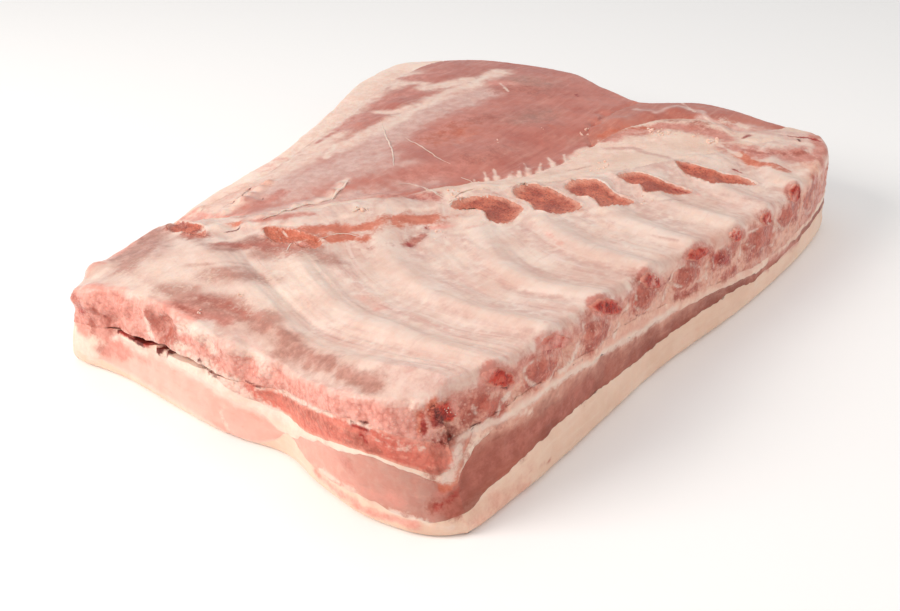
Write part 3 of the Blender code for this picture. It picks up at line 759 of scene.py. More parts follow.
def buildTop():
    nu = topForm["alongCut"]
    nv = topForm["acrossCut"]
    u, v = (part.ravel() for part in np.meshgrid(crowded(nu), crowded(nv), indexing="ij"))
    away = borderDistance(u, v)
    nearest = np.argmin(away, axis=1)
    gap = away.min(axis=1)
    base = level("top", u, v)
    xy = planPatch(u, v) + base[:, None] * leanVector(u, v)
    relief = mainRelief(xy) + fineRelief(xy) * smoothStep(*topForm["calmEdge"], gap)
    between = 1 - np.exp(-(ribField(xy)[2].min(axis=1) / topForm["betweenRibs"]) ** 2)
    fade = topForm["scallopFade"]
    between *= (nearest == 0) * smoothStep(0, fade, away[:, 3]) * smoothStep(0, fade, away[:, 1])
    radius = walls["topRound"] * (1 + clouded("edgeRound", atFloor(xy)) + walls["scallop"] * between)
    share = np.clip(1 - gap / radius, 0, 1)
    z = base + relief - radius * (1 - np.sqrt(1 - share ** 2))
    edgeU = np.select([nearest == 1, nearest == 3], [1 + 0 * u, 0 * u], u)
    edgeV = np.select([nearest == 0, nearest == 2], [0 * v, 1 + 0 * v], v)
    normal = outward(edgeU, edgeV)
    xy = planPatch(u, v) + z[:, None] * leanVector(u, v)
    push = wallPush(np.column_stack([xy, z])) * smoothStep(topForm["wallReach"], 0, gap)
    xy = cornerSoftened(xy + normal * push[:, None])
    normals = np.column_stack([normal * share[:, None], topForm["lipTilt"] - share])
    normals /= np.linalg.norm(normals, axis=1)[:, None]
    shape = (nu + 1, nv + 1)
    faces = xy.reshape(*shape, 2)
    middle = (faces[:-1, :-1] + faces[1:, :-1] + faces[1:, 1:] + faces[:-1, 1:]).reshape(-1, 2) / 4
    region = np.full(len(middle), topPieces.index("bellyFlap"))
    for key in ("bellyRim", "flankRoll", "costalArchFat"):
        region[insideOutline(middle, outlines[key])] = topPieces.index(key)
    region[~insideOutline(middle, outlines["beyondRibs"])] = topPieces.index("ribSheet")
    region = region.reshape(nu, nv)
    xy = snappedToLines(xy, region, shape)
    points = sculpted(np.column_stack([xy, z]), normals)
    return {"u": u, "v": v, "points": points, "gap": gap, "region": region, "shape": shape}


def snappedToLines(xy, region, shape):
    # grid corners between two regions move onto the line that parts them
    padded = np.pad(region, 1, mode="edge")
    around = np.stack([padded[:-1, :-1], padded[1:, :-1], padded[1:, 1:], padded[:-1, 1:]])
    mixed = (around.max(axis=0) != around.min(axis=0)).reshape(-1)
    moved = xy.copy()
    best = np.full(mixed.sum(), 1e9)
    landing = xy[mixed].copy()
    for key in borderLines:
        for a, b in zip(lines[key][:-1], lines[key][1:]):
            t = np.clip((xy[mixed] - a) @ (b - a) / ((b - a) @ (b - a)), 0, 1)
            spot = a + t[:, None] * (b - a)
            away = np.linalg.norm(xy[mixed] - spot, axis=1)
            closer = away < best
            best = np.where(closer, away, best)
            landing[closer] = spot[closer]
    moved[mixed] = np.where((best < topForm["snap"])[:, None], landing, xy[mixed])
    return moved


top = buildTop()
topTree = KDTree(len(top["points"]))
for k, point in enumerate(top["points"]):
    topTree.insert((point[0], point[1], 0.0), k)
topTree.balance()


def surfaceHeight(x, y):
    total = 0.0
    weight = 0.0
    for _, k, away in topTree.find_n((x, y, 0.0), 4):
        w = 1 / (away + 0.05)
        total += w * top["points"][k][2]
        weight += w
    return total / weight


print("upper surface ready")


# colours of the surface, painted as strokes through pixels
sawnEnds = {                            # middle, half width, half height, tilt in degrees
    "rib_01": ("445,411", 16, 9.5, -4), "rib_02": ("498,378", 15, 10.5, -6),
    "rib_03": ("555,342", 12.5, 8.5, 14), "rib_04": ("606.5,307", 15.5, 8.5, 4),
    "rib_05": ("651,281", 11, 7.5, -6), "rib_06": ("698,253.5", 11.5, 6.5, 12),
    "rib_07": ("736,235", 6.5, 7.5, 30), "rib_08": ("766,219", 6.5, 6.0, 30),
    "rib_09": ("795,193", 6.0, 9.0, -20),
}
wallLumps = [                           # muscles between the ribs on the rib cut, as above
    ("486,408", 11, 13, 0), ("541,370", 16, 14, 20), ("596,331", 15, 12, 20), ("646,297", 14, 12, 20),
    ("687,275", 15, 11, 20), ("722,257", 10, 9, 0), ("762,237", 15, 12, 25), ("784,214", 11, 12, 0),
    ("808,196", 7, 15, -10),
]

# half width, strength and pixels of each stroke; in each kind they go from the breast side over the ribs,
# the arch, the flap and the flank roll to the breast end, the rib cut and its sawn bones
strokes = {
    "fat": [
        (1.6, 1.0, "256,230 290,227 330,222 370,215 400,213 434,211"),
        (2.6, 1.0, "440,202 470,191 500,181 537,175 560,167 581,152 600,144 640,143 668,138"),
        (2.4, 1.0, "257,221 277,214 299,206 330,199"), (2.2, 1.0, "328,199 335,192 347,180"),
        (10, 1.0, "210,214 236,198 264,181 292,164 312,149 326,135 340,117 362,100 386,84 404,74"),
        (4.0, 1.0, "222,215 240,205 256,193 268,182"),
        (7, 1.0, "332,152 356,141 378,130 404,117 428,104 452,94 478,82 500,72"),
        (4.5, 1.0, "378,112 392,112 410,108"), (6, 1.0, "424,88 446,86 470,80"), (5, 0.9, "350,108 368,104"),
        (5, 0.8, "394,88 410,83 424,84"),
    ],
    "fascia": [
        (8, 0.55, "398,370 420,380 442,384"), (6, 0.5, "728,206 746,205 764,200"),
        (4.0, 0.8, "744,126 776,132 804,134"), (14, 1.0, "282,192 312,178 342,167 366,158"),
        (8, 1.0, "262,214 300,207 344,200 376,194"), (9, 0.9, "370,150 392,136 412,122"),
        (8, 0.6, "400,186 430,182"), (9, 0.9, "420,120 450,106 484,94"), (7, 0.6, "350,176 380,170 410,166"),
        (5, 0.9, "424,112 448,109 466,104"), (5.0, 0.8, "730,128 760,134 790,140"),
        # the first stroke on the next line, 636,109 to 732,131, is a painted highlight along the top of the
        # flank roll
        (1.8, 0.9, "636,109 654,113 677,106 698,111 714,124 732,131"), (2.2, 0.8, "700,118 722,124 744,132"),
    ],
    "edge": [
        (3.2, 0.9, "220,216 240,204 256,192 268,182"), (5, 0.55, "198,209 226,197 250,184"),
        (10, 0.95, "466,424 500,404 540,380 600,340 660,300 720,262 770,236 800,212 820,170"),
        (2.8, 0.9, "470,436 500,424 540,395 580,364 620,336 660,310 700,290 740,268 790,232"),
        (6.0, 0.6, "476,524 500,502 524,484"),
    ],
    "faint": [
        (1.4, 0.9, "396,349 412,356 430,366 462,370 500,368"),
        (2.6, 0.65, "440,296 446,311 466,322 500,333 530,337"), (0.8, 0.7, "503,290 530,283"),
        (0.8, 0.8, "530,283 549,290 577,287 598,285"), (1.8, 0.7, "494,278 510,293 539,301 568,303"),
        (0.8, 0.7, "566,262 584,268 600,268"), (2.0, 0.8, "414,256 424,262 432,266"),
        (2.2, 0.9, "452,238 460,244"), (1.4, 0.8, "300,272 314,276"), (1.2, 0.8, "420,350 440,366 470,372"),
        (1.4, 0.6, "300,350 330,362 360,380 392,394"), (0.9, 0.8, "551,252 570,263 607,274 634,276"),
        (0.8, 0.7, "570,282 592,283 613,279"), (0.9, 0.7, "605,242 634,247 661,258"),
        (0.8, 0.8, "618,228 648,236 677,242"), (1.0, 0.7, "660,214 684,222 704,230"),
        (0.8, 0.7, "636,222 662,230 690,236"), (0.9, 0.7, "700,204 724,212 742,218"),
        (1.2, 0.6, "650,208 672,206 690,206"), (1.4, 0.5, "720,196 750,200 776,204"),
        (1.8, 0.9, "606,150 632,150 656,156 684,168"),
    ],
    "rose": [
        (2.5, 0.7, "240,248 280,252 310,260"), (4.5, 1.0, "172,303 198,312 224,322"),
        (4.0, 0.8, "734,146 764,152 800,150"), (7, 0.9, "424,140 446,128 466,118"),
        (3.0, 0.9, "256,223 286,219 310,216"), (5, 0.9, "384,199 410,197 436,198"),
        (3.0, 0.8, "262,205 272,200 283,193"), (5.0, 1.0, "340,129 352,123 366,116"),
        (5.0, 1.0, "373,105 394,98 416,92"), (5.0, 1.0, "408,79 426,76 446,72"),
        (2.2, 0.7, "316,143 334,132"), (6, 0.6, "486,82 512,84"), (8, 0.7, "410,178 460,168"),
        (4, 0.6, "442,97 462,90"), (5, 0.5, "372,192 390,194"),
        (5.0, 1.0, "612,139 640,131 664,127 688,127 710,133 728,140"), (5.0, 1.0, "728,148 766,155 806,156"),
        (3.4, 0.9, "812,136 820,146 824,158"), (5.0, 1.0, "90,312 100,327 108,339"),
        (3.4, 0.9, "78,294 85,306 81,322"), (2.6, 0.8, "118,296 126,304 130,316"),
        (3.0, 0.8, "92,345 112,350 128,352"), (2.4, 0.7, "342,456 352,470"),
        (2.2, 0.9, "440,494 449,486 455,478"), (3.0, 0.7, "456,404 470,398 484,388"),
        (2.6, 0.8, "520,366 534,356"), (2.4, 0.7, "576,332 588,322"), (2.4, 0.6, "628,298 640,288"),
        (5.0, 0.7, "806,214 819,190 824,160"), (2.4, 0.7, "770,260 796,242"),
        (0.5, 0.6, "521,476 536,468 552,459"), (0.7, 0.8, "562,462 578,448 594,434"),
        (1.4, 0.5, "764,269 768,270"),
    ],
    "pink": [
        (4, 0.8, "94,264 120,252 150,231"), (3.5, 0.8, "150,300 172,306 186,318"),
        (2.5, 0.8, "256,320 270,331"), (2.6, 0.75, "360,303 372,312 384,318"), (1.6, 0.6, "549,236 562,246"),
        (1.2, 0.6, "386,318 400,324 420,332"), (2.4, 0.85, "290,241 302,244 314,247"),
        (1.4, 0.8, "336,243 350,241"), (2.6, 0.9, "438,231 450,229"), (2.0, 0.7, "470,230 480,229"),
        (3.4, 1.0, "184,219 212,218 236,216"), (1.4, 0.8, "690,190 700,197"), (5, 0.6, "492,84 512,84"),
        (2.5, 0.8, "192,213 214,216"), (4, 0.4, "262,170 282,158"), (3.5, 1.0, "76,316 84,327"),
        (2.2, 0.8, "112,347 130,354 148,360"), (5, 1.0, "92,290 102,300 96,316"),
        (4.5, 1.0, "110,296 126,310 132,322"), (2.6, 0.9, "136,300 144,312 146,324"),
        (2.4, 0.9, "186,342 196,344"), (3.5, 0.5, "222,366 240,374 262,380"),
        (3.4, 0.6, "236,342 250,352 256,366"), (3.0, 0.8, "112,344 122,350"), (2.4, 0.9, "118,300 120,290"),
        (3.4, 0.95, "262,374 300,389 340,404 380,418 420,430"),
        (1.7, 0.75, "316,471 341,493 366,509 396,520 420,526"), (3.0, 0.5, "346,480 370,496 400,504"),
        (5, 0.35, "300,440 330,456"), (2.4, 1.0, "546,347 556,338"), (2.0, 1.0, "560,346 566,339"),
        (1.3, 0.9, "594,313 604,316"), (1.6, 0.9, "645,287 652,285"), (1.2, 0.9, "704,250 707,257"),
        (1.8, 0.9, "455,404 460,412"), (1.7, 0.9, "482,377 489,371"), (1.0, 0.9, "734,232 738,228"),
        (1.0, 0.9, "764,222 768,218"), (1.2, 0.9, "793,198 797,194"),
    ],
    "dusk": [
        (7, 1.0, "152,236 142,252 128,270"), (5, 0.6, "166,240 152,262"), (4, 0.6, "190,238 215,250"),
        (3.5, 0.9, "258,256 300,262 340,268"), (1.8, 0.8, "186,268 214,266 244,268"),
        (6.0, 1.0, "205,279 236,277 268,284"), (5.5, 1.0, "224,250 252,245 300,254 330,266"),
        (6.0, 1.0, "168,290 200,299 235,310 262,324"), (5, 0.9, "122,258 136,250 150,246"),
        (4, 0.9, "250,315 266,328 284,344"), (5, 0.8, "286,345 315,360 345,374 372,384"),
        (1.2, 0.9, "478,187 496,187 512,187"), (1.0, 0.9, "520,184 532,184"), (1.2, 0.7, "570,172 590,168"),
        (2.2, 0.6, "690,176 720,180"), (1.4, 0.7, "646,204 668,202 684,202"), (9, 0.7, "520,80 545,86"),
        (9, 0.6, "520,122 548,114"), (6, 0.4, "580,140 606,136"), (3.0, 0.8, "484,398 494,404"),
    ],
    "lean": [
        (4, 0.85, "228,246 262,249 300,257"), (3.2, 0.7, "198,299 225,307 247,318"),
        (2.0, 0.6, "176,306 200,316"), (1.5, 1.0, "310,296 321,293"), (1.6, 1.0, "315,301 327,303"),
        (1.5, 1.0, "316,307 327,308 337,307"), (1.0, 0.8, "340,268 356,260 388,251"),
        (0.9, 0.8, "345,272 362,264 376,260"), (1.8, 0.7, "366,253 390,248"),
        (2.8, 1.0, "423,239 414,243 410,248"), (3.0, 1.0, "168,228 184,229"), (3.2, 1.0, "188,234 202,236"),
        (1.2, 0.8, "232,219 252,218"), (1.5, 0.9, "674,164 690,166"), (8, 0.45, "470,160 500,150"),
        (8, 0.55, "436,136 462,126 488,118"), (8, 0.5, "504,92 524,90 542,94"),
        (4.5, 0.5, "660,118 690,118 706,128"), (1.8, 0.7, "744,150 770,154 806,152"),
        (2.4, 0.7, "94,320 104,334"), (3.0, 0.8, "90,306 100,316 108,326"),
        (4.6, 1.0, "156,320 166,330 168,340"), (2.0, 0.7, "262,392 290,404"), (2.2, 0.6, "350,430 370,442"),
        (2.6, 0.8, "436,505 448,504 456,512"), (3.0, 0.55, "286,400 310,414 336,426"),
        (1.4, 0.6, "330,432 356,444 384,452"), (3.6, 0.9, "438,450 438,466"),
        (7.0, 0.6, "456,440 472,424 490,416"), (6.0, 0.6, "470,470 500,452 520,440"),
        (3.4, 0.9, "462,494 482,474 506,454"), (3.4, 0.8, "520,440 556,410 592,386"),
    ],
    "lump": [
        (5.2, 0.9, "474,404 492,409"), (5.6, 1.0, "536,370 550,366"), (5.4, 1.0, "589,334 603,330"),
        (5.6, 1.0, "637,298 652,294"), (5.6, 1.0, "681,276 696,271"), (4.6, 1.0, "716,261 730,255"),
        (6.0, 1.0, "752,243 769,235"), (5.8, 1.0, "783,218 793,206"), (4.2, 0.9, "805,205 814,184"),
        (2.0, 0.8, "676,296 688,292 696,286"), (2.4, 0.7, "748,260 762,253"), (2.4, 0.7, "724,276 736,269"),
    ],
    "ember": [
        (4.2, 1.0, "276,238 300,238 322,233 344,229"), (5.0, 1.0, "344,233 374,230 396,225 414,223 434,222"),
        (3.0, 1.0, "270,233 288,236 308,243 318,249"), (4.6, 1.0, "330,243 346,241 358,241"),
        (2.4, 0.85, "432,224 445,221 455,219"), (2.0, 1.0, "226,226 241,224"),
        (1.3, 0.9, "741,158 760,164 790,171"), (2.6, 0.45, "578,213 560,214"), (14, 0.42, "436,140 462,128"),
        (4, 0.4, "548,128 564,128"), (4.0, 0.5, "600,137 622,129 646,127"),
        (2.6, 0.9, "738,156 756,165 786,171"), (1.5, 0.9, "420,411 423,428"),
        (2.2, 1.0, "446,487 452,479 458,470"), (1.8, 1.0, "431,405 433,415"),
    ],
    "pale": [
        (0.7, 0.8, "238,284 262,297 290,311"), (1.0, 0.7, "246,266 290,270 330,279"),
        (0.6, 0.8, "216,262 260,265 300,273"), (9, 0.55, "152,266 178,274 196,282"),
        # the broad stroke 276,300 302,286 292,268 on the next line is a painted highlight on the wet membrane
        (12, 0.85, "276,300 302,286 292,268"), (5, 0.6, "120,276 140,290 160,296"),
        (3, 0.7, "232,342 252,356 270,372"), (8, 0.6, "440,268 456,262"), (7, 0.5, "520,256 540,262"),
        (10, 0.4, "360,290 392,300"), (6, 0.5, "460,300 490,306"), (8, 0.5, "640,250 660,262"),
        (8, 0.5, "590,228 612,236"), (8, 0.5, "700,218 720,224"), (0.6, 0.9, "286,247 298,243 318,240"),
        (0.5, 0.9, "276,232 281,240"), (0.4, 0.9, "283,231 288,238"), (3.6, 1.0, "210,230 224,228"),
        (2.2, 0.9, "245,228 253,227"), (1.8, 0.8, "218,244 236,240 258,234"),
        (1.0, 0.7, "262,230 300,227 340,221 380,216 410,212 440,210"), (4.0, 0.8, "452,196 478,190 500,190"),
        (3.2, 0.8, "520,184 550,182 572,174"), (4.0, 0.8, "470,222 456,232 470,236"),
        (2.6, 0.9, "497,231 512,228 524,216"), (2.6, 0.9, "540,221 556,221 578,216"),
        (2.6, 0.8, "594,213 606,213 622,211"), (3.0, 0.8, "606,176 600,178 590,176"),
        (3.0, 0.7, "646,198 660,200"), (5, 0.7, "660,150 690,156 720,164"),
        (4, 0.6, "752,190 776,186 800,176"), (3.0, 0.9, "226,213 244,202 258,190"),
        (1.4, 1.0, "259,220 277,214 299,206 330,199"), (1.6, 1.0, "330,199 336,192 346,182"),
        (2.0, 0.9, "353,211 366,210"), (2.4, 0.7, "384,130 402,119 424,106"),
        (3.0, 0.7, "430,104 448,94 470,86 484,76"), (2.0, 0.8, "326,158 334,146"),
        (0.7, 0.8, "501,84 508,92"), (3.5, 0.8, "188,210 204,204"), (6, 0.5, "352,96 366,84"),
        (0.8, 0.6, "682,103 694,112 712,122 734,137"), (2.2, 0.8, "752,134 780,140 806,144"),
        (2.6, 0.9, "792,176 804,170"), (1.6, 0.8, "745,141 756,143"), (2.5, 0.7, "722,120 748,128"),
        (1.5, 0.8, "720,146 738,156"), (1.4, 0.8, "146,312 148,330 154,342"),
        (2.6, 1.0, "180,327 196,332 206,340 216,352"), (1.8, 0.8, "172,344 190,350"),
        (4.0, 1.0, "176,357 200,370 222,382 244,396"), (3.4, 1.0, "80,338 90,348 94,356"),
        (2.6, 0.9, "244,398 264,409 286,420"), (1.0, 0.8, "226,404 222,414 228,426"),
        (1.2, 0.8, "124,344 132,350 146,354"), (1.2, 0.8, "104,340 116,338"), (2.2, 0.8, "96,278 104,272"),
        (1.0, 0.7, "232,346 246,342"), (0.8, 0.7, "256,388 280,392"),
        (0.9, 1.0, "320,469 354,490 396,513 428,522 452,527"), (1.6, 1.0, "414,405 419,404"),
        (0.8, 1.0, "281,392 300,402 328,413 352,421"), (0.8, 1.0, "353,421 375,428 398,441 424,447"),
        (0.7, 0.9, "370,432 385,443 400,447 424,449"), (1.8, 1.0, "460,450 456,466 448,480"),
        (1.0, 0.8, "500,400 516,390"), (1.2, 0.8, "560,372 572,360 578,344"),
        (1.4, 0.9, "462,440 500,418 530,398 576,370 600,356 650,326 676,306"),
        (1.0, 0.8, "614,336 622,322 628,306"), (1.0, 0.8, "664,300 670,286"), (0.9, 0.8, "706,278 708,264"),
        (0.9, 0.8, "740,256 743,242"), (0.8, 0.8, "774,232 776,218"), (0.8, 0.8, "798,214 802,196"),
        (0.8, 0.8, "512,414 524,411 532,412"),
    ],
    "blood": [
        (1.6, 1.0, "426,229 427,235"), (1.2, 0.8, "410,250 409,246"), (1.4, 0.8, "676,190 690,195"),
        (0.9, 0.7, "733,170 742,174"), (4, 0.3, "404,199 428,198"), (0.9, 0.9, "577,95 578,97"),
        (1.0, 0.9, "788,136 804,137 820,140"), (1.2, 0.8, "744,139 750,136"), (2.2, 0.6, "78,298 80,310"),
        # the strokes 118,331 to 160,350, 440,440 to 452,432 and 438,506 to 461,489 fill the crack of the
        # breast end, the hollow at the near corner and the shadow under a torn flap: painted shade over red
        # meat
        (1.2, 0.9, "118,331 135,341 150,347 160,350"), (0.7, 0.9, "361,434 368,442"),
        (0.9, 0.9, "422,414 425,432"), (2.0, 0.7, "434,412 436,420"), (2.6, 0.6, "440,440 452,432"),
        (0.7, 0.9, "354,424 364,428 372,433"), (1.2, 0.7, "438,506 450,500 461,489"),
        (0.9, 0.9, "478,410 484,404"), (2.2, 0.7, "716,257 728,263"), (1.2, 0.8, "480,402 486,396"),
        (1.0, 1.0, "452,396 455,392"), (1.0, 0.9, "751,222 754,219"), (1.0, 0.5, "664,284 670,278"),
        (0.8, 1.0, "548,351 553,345"),
    ],
    # the dark strokes lie in cracks, creases and hollows: painted shade there over the dark red of torn meat;
    # 595,123 602,116 is the painted shadow of the fold where the flap meets the roll
    "dark": [
        (0.6, 0.9, "184,231 190,226"), (0.8, 1.0, "226,232 237,231 243,226"),
        (0.5, 0.9, "222,209 238,200 251,188"), (0.4, 0.8, "262,200 270,190 270,184 263,183"),
        (0.9, 0.9, "595,123 602,116"), (0.5, 0.8, "436,175 437,176"), (0.7, 0.8, "798,139 800,141"),
        (1.0, 0.9, "104,316 112,324 118,331"), (1.5, 0.9, "156,349 168,353"),
        (0.7, 0.9, "155,315 166,320 174,329"), (0.9, 1.0, "200,361 208,371 216,375"),
        (0.6, 0.9, "218,377 230,382 238,384"), (0.5, 0.9, "246,382 256,386 264,388"),
        (0.9, 0.8, "129,338 142,345"), (0.9, 0.8, "91,352 96,355"), (0.5, 0.8, "352,420 376,424"),
        (1.8, 0.7, "446,440 456,431"), (0.9, 0.9, "430,404 436,412"), (0.5, 0.9, "468,426 480,423"),
        (0.4, 0.8, "572,365 582,360"), (0.4, 0.7, "636,316 646,312"), (0.5, 0.7, "464,452 474,446"),
        (0.5, 0.7, "484,440 488,437"), (0.7, 0.9, "606,304 612,311"), (1.6, 0.9, "440,417 446,422"),
        (0.8, 0.9, "501,386 506,387"),
    ],
}
strokeLines = []
for kind, group in strokes.items():
    for halfWidth, strength, text in group:
        strokeLines.append((kind, halfWidth, strength, placesOf(text)))
for text, halfWidth in fringe:
    foot, tip = placesOf(text)
    footX, footY = pairsOf(text)[0]
    start, _ = photoPoint((footX + 3, footY + 5))
    middle = foot * 0.6 + tip * 0.4
    for share, strength, ends in ((1.3, 1.0, (start, foot)), (0.8, 0.95, (foot, middle)),
                                  (0.4, 0.9, (middle, foot * 0.2 + tip * 0.8))):
        strokeLines.append(("fat", share * halfWidth, strength, np.array(ends)))
ringWaves = {                           # turns, shift, amount
    "stroke": [(2, 1.0, 0.14), (3, 2.3, 0.12)],
    "bone": [(2, 1.0, 0.12), (3, 2.1, 0.08), (5, 4.1, 0.06), (8, 3.3, 0.05), (13, 1.7, 0.04)],
}


def ovalRing(kind, angle, text, halfWidth, halfHeight, tilt):
    # pixels round an uneven oval, from its middle
    phase = pairsOf(text)[0][0]
    turn = math.radians(tilt)
    waves = [amount * np.sin(turns * angle + shift * phase) for turns, shift, amount in ringWaves[kind]]
    uneven = 1 + sum(waves)
    a = halfWidth * uneven * np.cos(angle)
    b = halfHeight * uneven * np.sin(angle)
    right = a * math.cos(turn) - b * math.sin(turn)
    down = -a * math.sin(turn) - b * math.cos(turn)
    return np.stack([right, down], axis=1)


def ringStroke(kind, halfWidth, strength, oval, grown=1.0):
    text, ovalWidth, ovalHeight, tilt = oval
    angle = np.linspace(0, 2 * np.pi, 17) + math.radians(tilt)
    ring = ovalRing("stroke", angle, text, grown * ovalWidth, grown * ovalHeight, tilt) + pairsOf(text)[0]
    strokeLines.append((kind, halfWidth, strength, np.array([photoPoint(spot)[0] for spot in ring])))


for oval in wallLumps:
    ringStroke("pale", 0.7, 0.6, oval)
for oval in sawnEnds.values():
    ringStroke("rose", 1.5, 0.9, oval, 1.12)

brush = {
    "strength": 1.15,
    "falloff": 0.6,
    "reach": 3,                         # half widths
    "waver": [(0.35, 4.0, 91), (0.25, 1.8, 93)],      # amount, cell, seed
    "drift": [(2.6, 9.0, 95), (1.1, 3.6, 98)],
    "fullDrift": 4,                     # half width from which a stroke drifts in full
}


def paint(piece, points):
    # how much of each kind of colour reaches every vertex
    masks = {kind: np.zeros(len(points)) for kind in strokes}
    waver = 1 + sum(amount * noise(points, cell, seed) for amount, cell, seed in brush["waver"])
    drift = np.column_stack([
        sum(amount * noise(points, cell, seed + k) for amount, cell, seed in brush["drift"]) for k in range(3)
    ])
    for kind, halfWidth, strength, line in strokeLines:
        reach = brush["reach"] * halfWidth
        near = np.all((points > line.min(axis=0) - reach) & (points < line.max(axis=0) + reach), axis=1)
        if not near.any():
            continue
        drifted = points[near] + min(1, halfWidth / brush["fullDrift"]) * drift[near]
        share = np.exp(-brush["falloff"] * (lineDistance(drifted, line)[0] / halfWidth) ** 2)
        amount = np.clip(strength * brush["strength"] * share * waver[near], 0, 1)
        masks[kind][near] = np.maximum(masks[kind][near], amount)
    for kind, values in masks.items():
        setFloats(piece, kind, values)


# the layers of the wall
layerPieces = {
    "backFatSlab": {
        "replaces": "back_fat", "slot": "back_fat", "rows": 12, "bulge": 0.0,
        "v": (0.0, 1.0), "reach": 1.0, "low": lambda u, v: 0 * u, "high": fatTop,
    },
    "outerLeanBand": {
        "replaces": "outer_lean", "slot": "outer_lean", "rows": 10, "bulge": -0.5,
        "v": (0.0, layers["septum"][0]), "reach": 1.0, "low": fatTop, "high": leanTop,
    },
    "breastLeanLens": {
        "replaces": "breast_lean", "slot": "breast_lean", "rows": 10, "bulge": 0.5,
        "v": (layers["septum"][1], layers["lensEnd"]), "reach": 1.0, "low": fatTop, "high": leanTop,
    },
    "seamFatLayer": {
        "replaces": "seam_fat", "slot": "seam_fat", "rows": 8, "bulge": 0.25,
        "v": (0.0, 1.0), "reach": 1.0, "low": leanTop, "high": seamTop,
    },
    "innerLeanBand": {
        "replaces": "inner_lean", "slot": "inner_lean", "rows": 10, "bulge": 0.35,
        "v": (0.0, 0.58), "reach": layers["innerReach"], "low": seamTop, "high": floorTop,
    },
}


layerForm = {
    "least": 0.02,                      # thickness where a layer runs out
    "fullBulge": 6,                     # thickness from which a layer bulges in full
    "paleStart": (0.01, 0.05),          # shares of the breast end over which its pallor sets in
    "paleGrowth": (0.08, 0.36),
    "paleShares": (0.55, 0.45),         # how much of it each of the two brings
}


def borderRing(vRange, reach):
    # stations round a layer, once anticlockwise, on the grid of the top
    us = crowded(topForm["alongCut"])
    vs = crowded(topForm["acrossCut"])
    first, last = vRange
    apart = 1e-3
    us = np.append(us[us < reach - apart], reach)
    vs = vs[(vs > first + apart) & (vs < last - apart)]
    vs = np.concatenate([[first], vs, [last]])
    near = [(a, first) for a in us]
    right = [(reach, b) for b in vs[1:]]
    far = [(a, last) for a in us[::-1][1:]]
    left = [(0.0, b) for b in vs[::-1][1:-1]]
    return np.array(near + right + far + left)


def addLayer(name, spec):
    ring = borderRing(spec["v"], spec["reach"])
    piece, station, row = ringStack(name, len(ring), spec["rows"])
    u = ring[station, 0]
    v = ring[station, 1]
    share = row / spec["rows"]
    low = spec["low"](ring[:, 0], ring[:, 1])[station]
    high = spec["high"](ring[:, 0], ring[:, 1])[station]
    z = low + share * np.maximum(high - low, layerForm["least"])
    thick = smoothStep(0, layerForm["fullBulge"], high - low)
    points, normals = wallPoints(u, v, z, spec["bulge"] * np.sin(np.pi * share) * thick)
    points = sculpted(points, normals)
    setVertices(piece, points)
    setFloats(piece, "cut", np.ones(len(points)))
    setFloats(piece, "up", share)
    first, second = layerForm["paleShares"]
    pale = first + second * smoothStep(*layerForm["paleGrowth"], v)
    setFloats(piece, "paleEnd", smoothStep(*layerForm["paleStart"], v) * pale * (u < hair))
    paint(piece, points)
    smoothPiece(piece)
    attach(piece, "root")
    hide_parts(spec["replaces"])
    return piece


pieces = {}
for name, spec in layerPieces.items():
    pieces[name] = addLayer(name, spec)
print("layers ready")


# the pieces of the upper side
sheetPieces = {
    "ribSheet": {"replaces": "rib_meat", "slot": "membrane", "rows": 17},
    "costalArchFat": {"replaces": "arch_fat", "slot": "seam_fat", "rows": 10},
    "bellyFlap": {"replaces": "flap_muscle", "slot": "flap_lean", "rows": 10},
    "flankRoll": {"replaces": "flank_roll", "slot": "flap_lean", "rows": 12},
    "bellyRim": {"replaces": "seam_fat", "slot": "seam_fat", "rows": 10},
}
sheetForm = {
    "least": 0.5,                       # thickness where the floor comes close to the top
    "wallStart": 0.12,                  # share of the rows over which the relief of the wall sets in
    "ribCut": 0.02,                     # share across the slab that counts as the rib cut
    "cutStart": (0.4, 3.4),             # depth over which the colour of the cut sets in there
    "edgeCut": (0.7, 1.6),              # share of that colour on the upper edge elsewhere, and how far in
    "valleyWidth": 9.0,
}


def gridPlaces(piece, nu, nv):
    raw = readVertices(piece)
    i = np.rint((raw[:, 0] + 1) / 2 * nu).astype(int)
    j = np.rint((raw[:, 1] + 1) / 2 * nv).astype(int)
    return i, j, np.rint(-raw[:, 2]).astype(int)


def addSheet(name, spec):
    nu, nv = (count - 1 for count in top["shape"])
    bpy.ops.object.select_all(action="DESELECT")
    bpy.ops.mesh.primitive_grid_add(x_subdivisions=nu, y_subdivisions=nv, size=2)
    piece = newPiece(name)
    mesh = piece.data
    middles = np.empty(len(mesh.polygons) * 3, np.float32)
    mesh.polygons.foreach_get("center", middles)
    middles = middles.reshape(-1, 3)
    i = np.floor((middles[:, 0] + 1) / 2 * nu).astype(int)
    j = np.floor((middles[:, 1] + 1) / 2 * nv).astype(int)
    others = top["region"][i, j] != topPieces.index(name)
    bpy.ops.object.mode_set(mode="EDIT")
    bpy.ops.mesh.select_mode(type="FACE")
    bpy.ops.mesh.select_all(action="DESELECT")
    bpy.ops.object.mode_set(mode="OBJECT")
    mesh.polygons.foreach_set("select", others)
    bpy.ops.object.mode_set(mode="EDIT")
    bpy.ops.mesh.delete(type="FACE")
    bpy.ops.mesh.select_all(action="SELECT")
    bpy.ops.mesh.region_to_loop()
    for _ in range(spec["rows"]):
        bpy.ops.mesh.extrude_region_move(TRANSFORM_OT_translate={"value": (0, 0, -1)})
    bpy.ops.mesh.edge_face_add()
    bpy.ops.mesh.select_mode(type="VERT")
    bpy.ops.object.mode_set(mode="OBJECT")
    shapeSheet(piece, spec, *gridPlaces(piece, nu, nv))
    smoothPiece(piece)
    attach(piece, "root")
    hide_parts(spec["replaces"])
    return piece


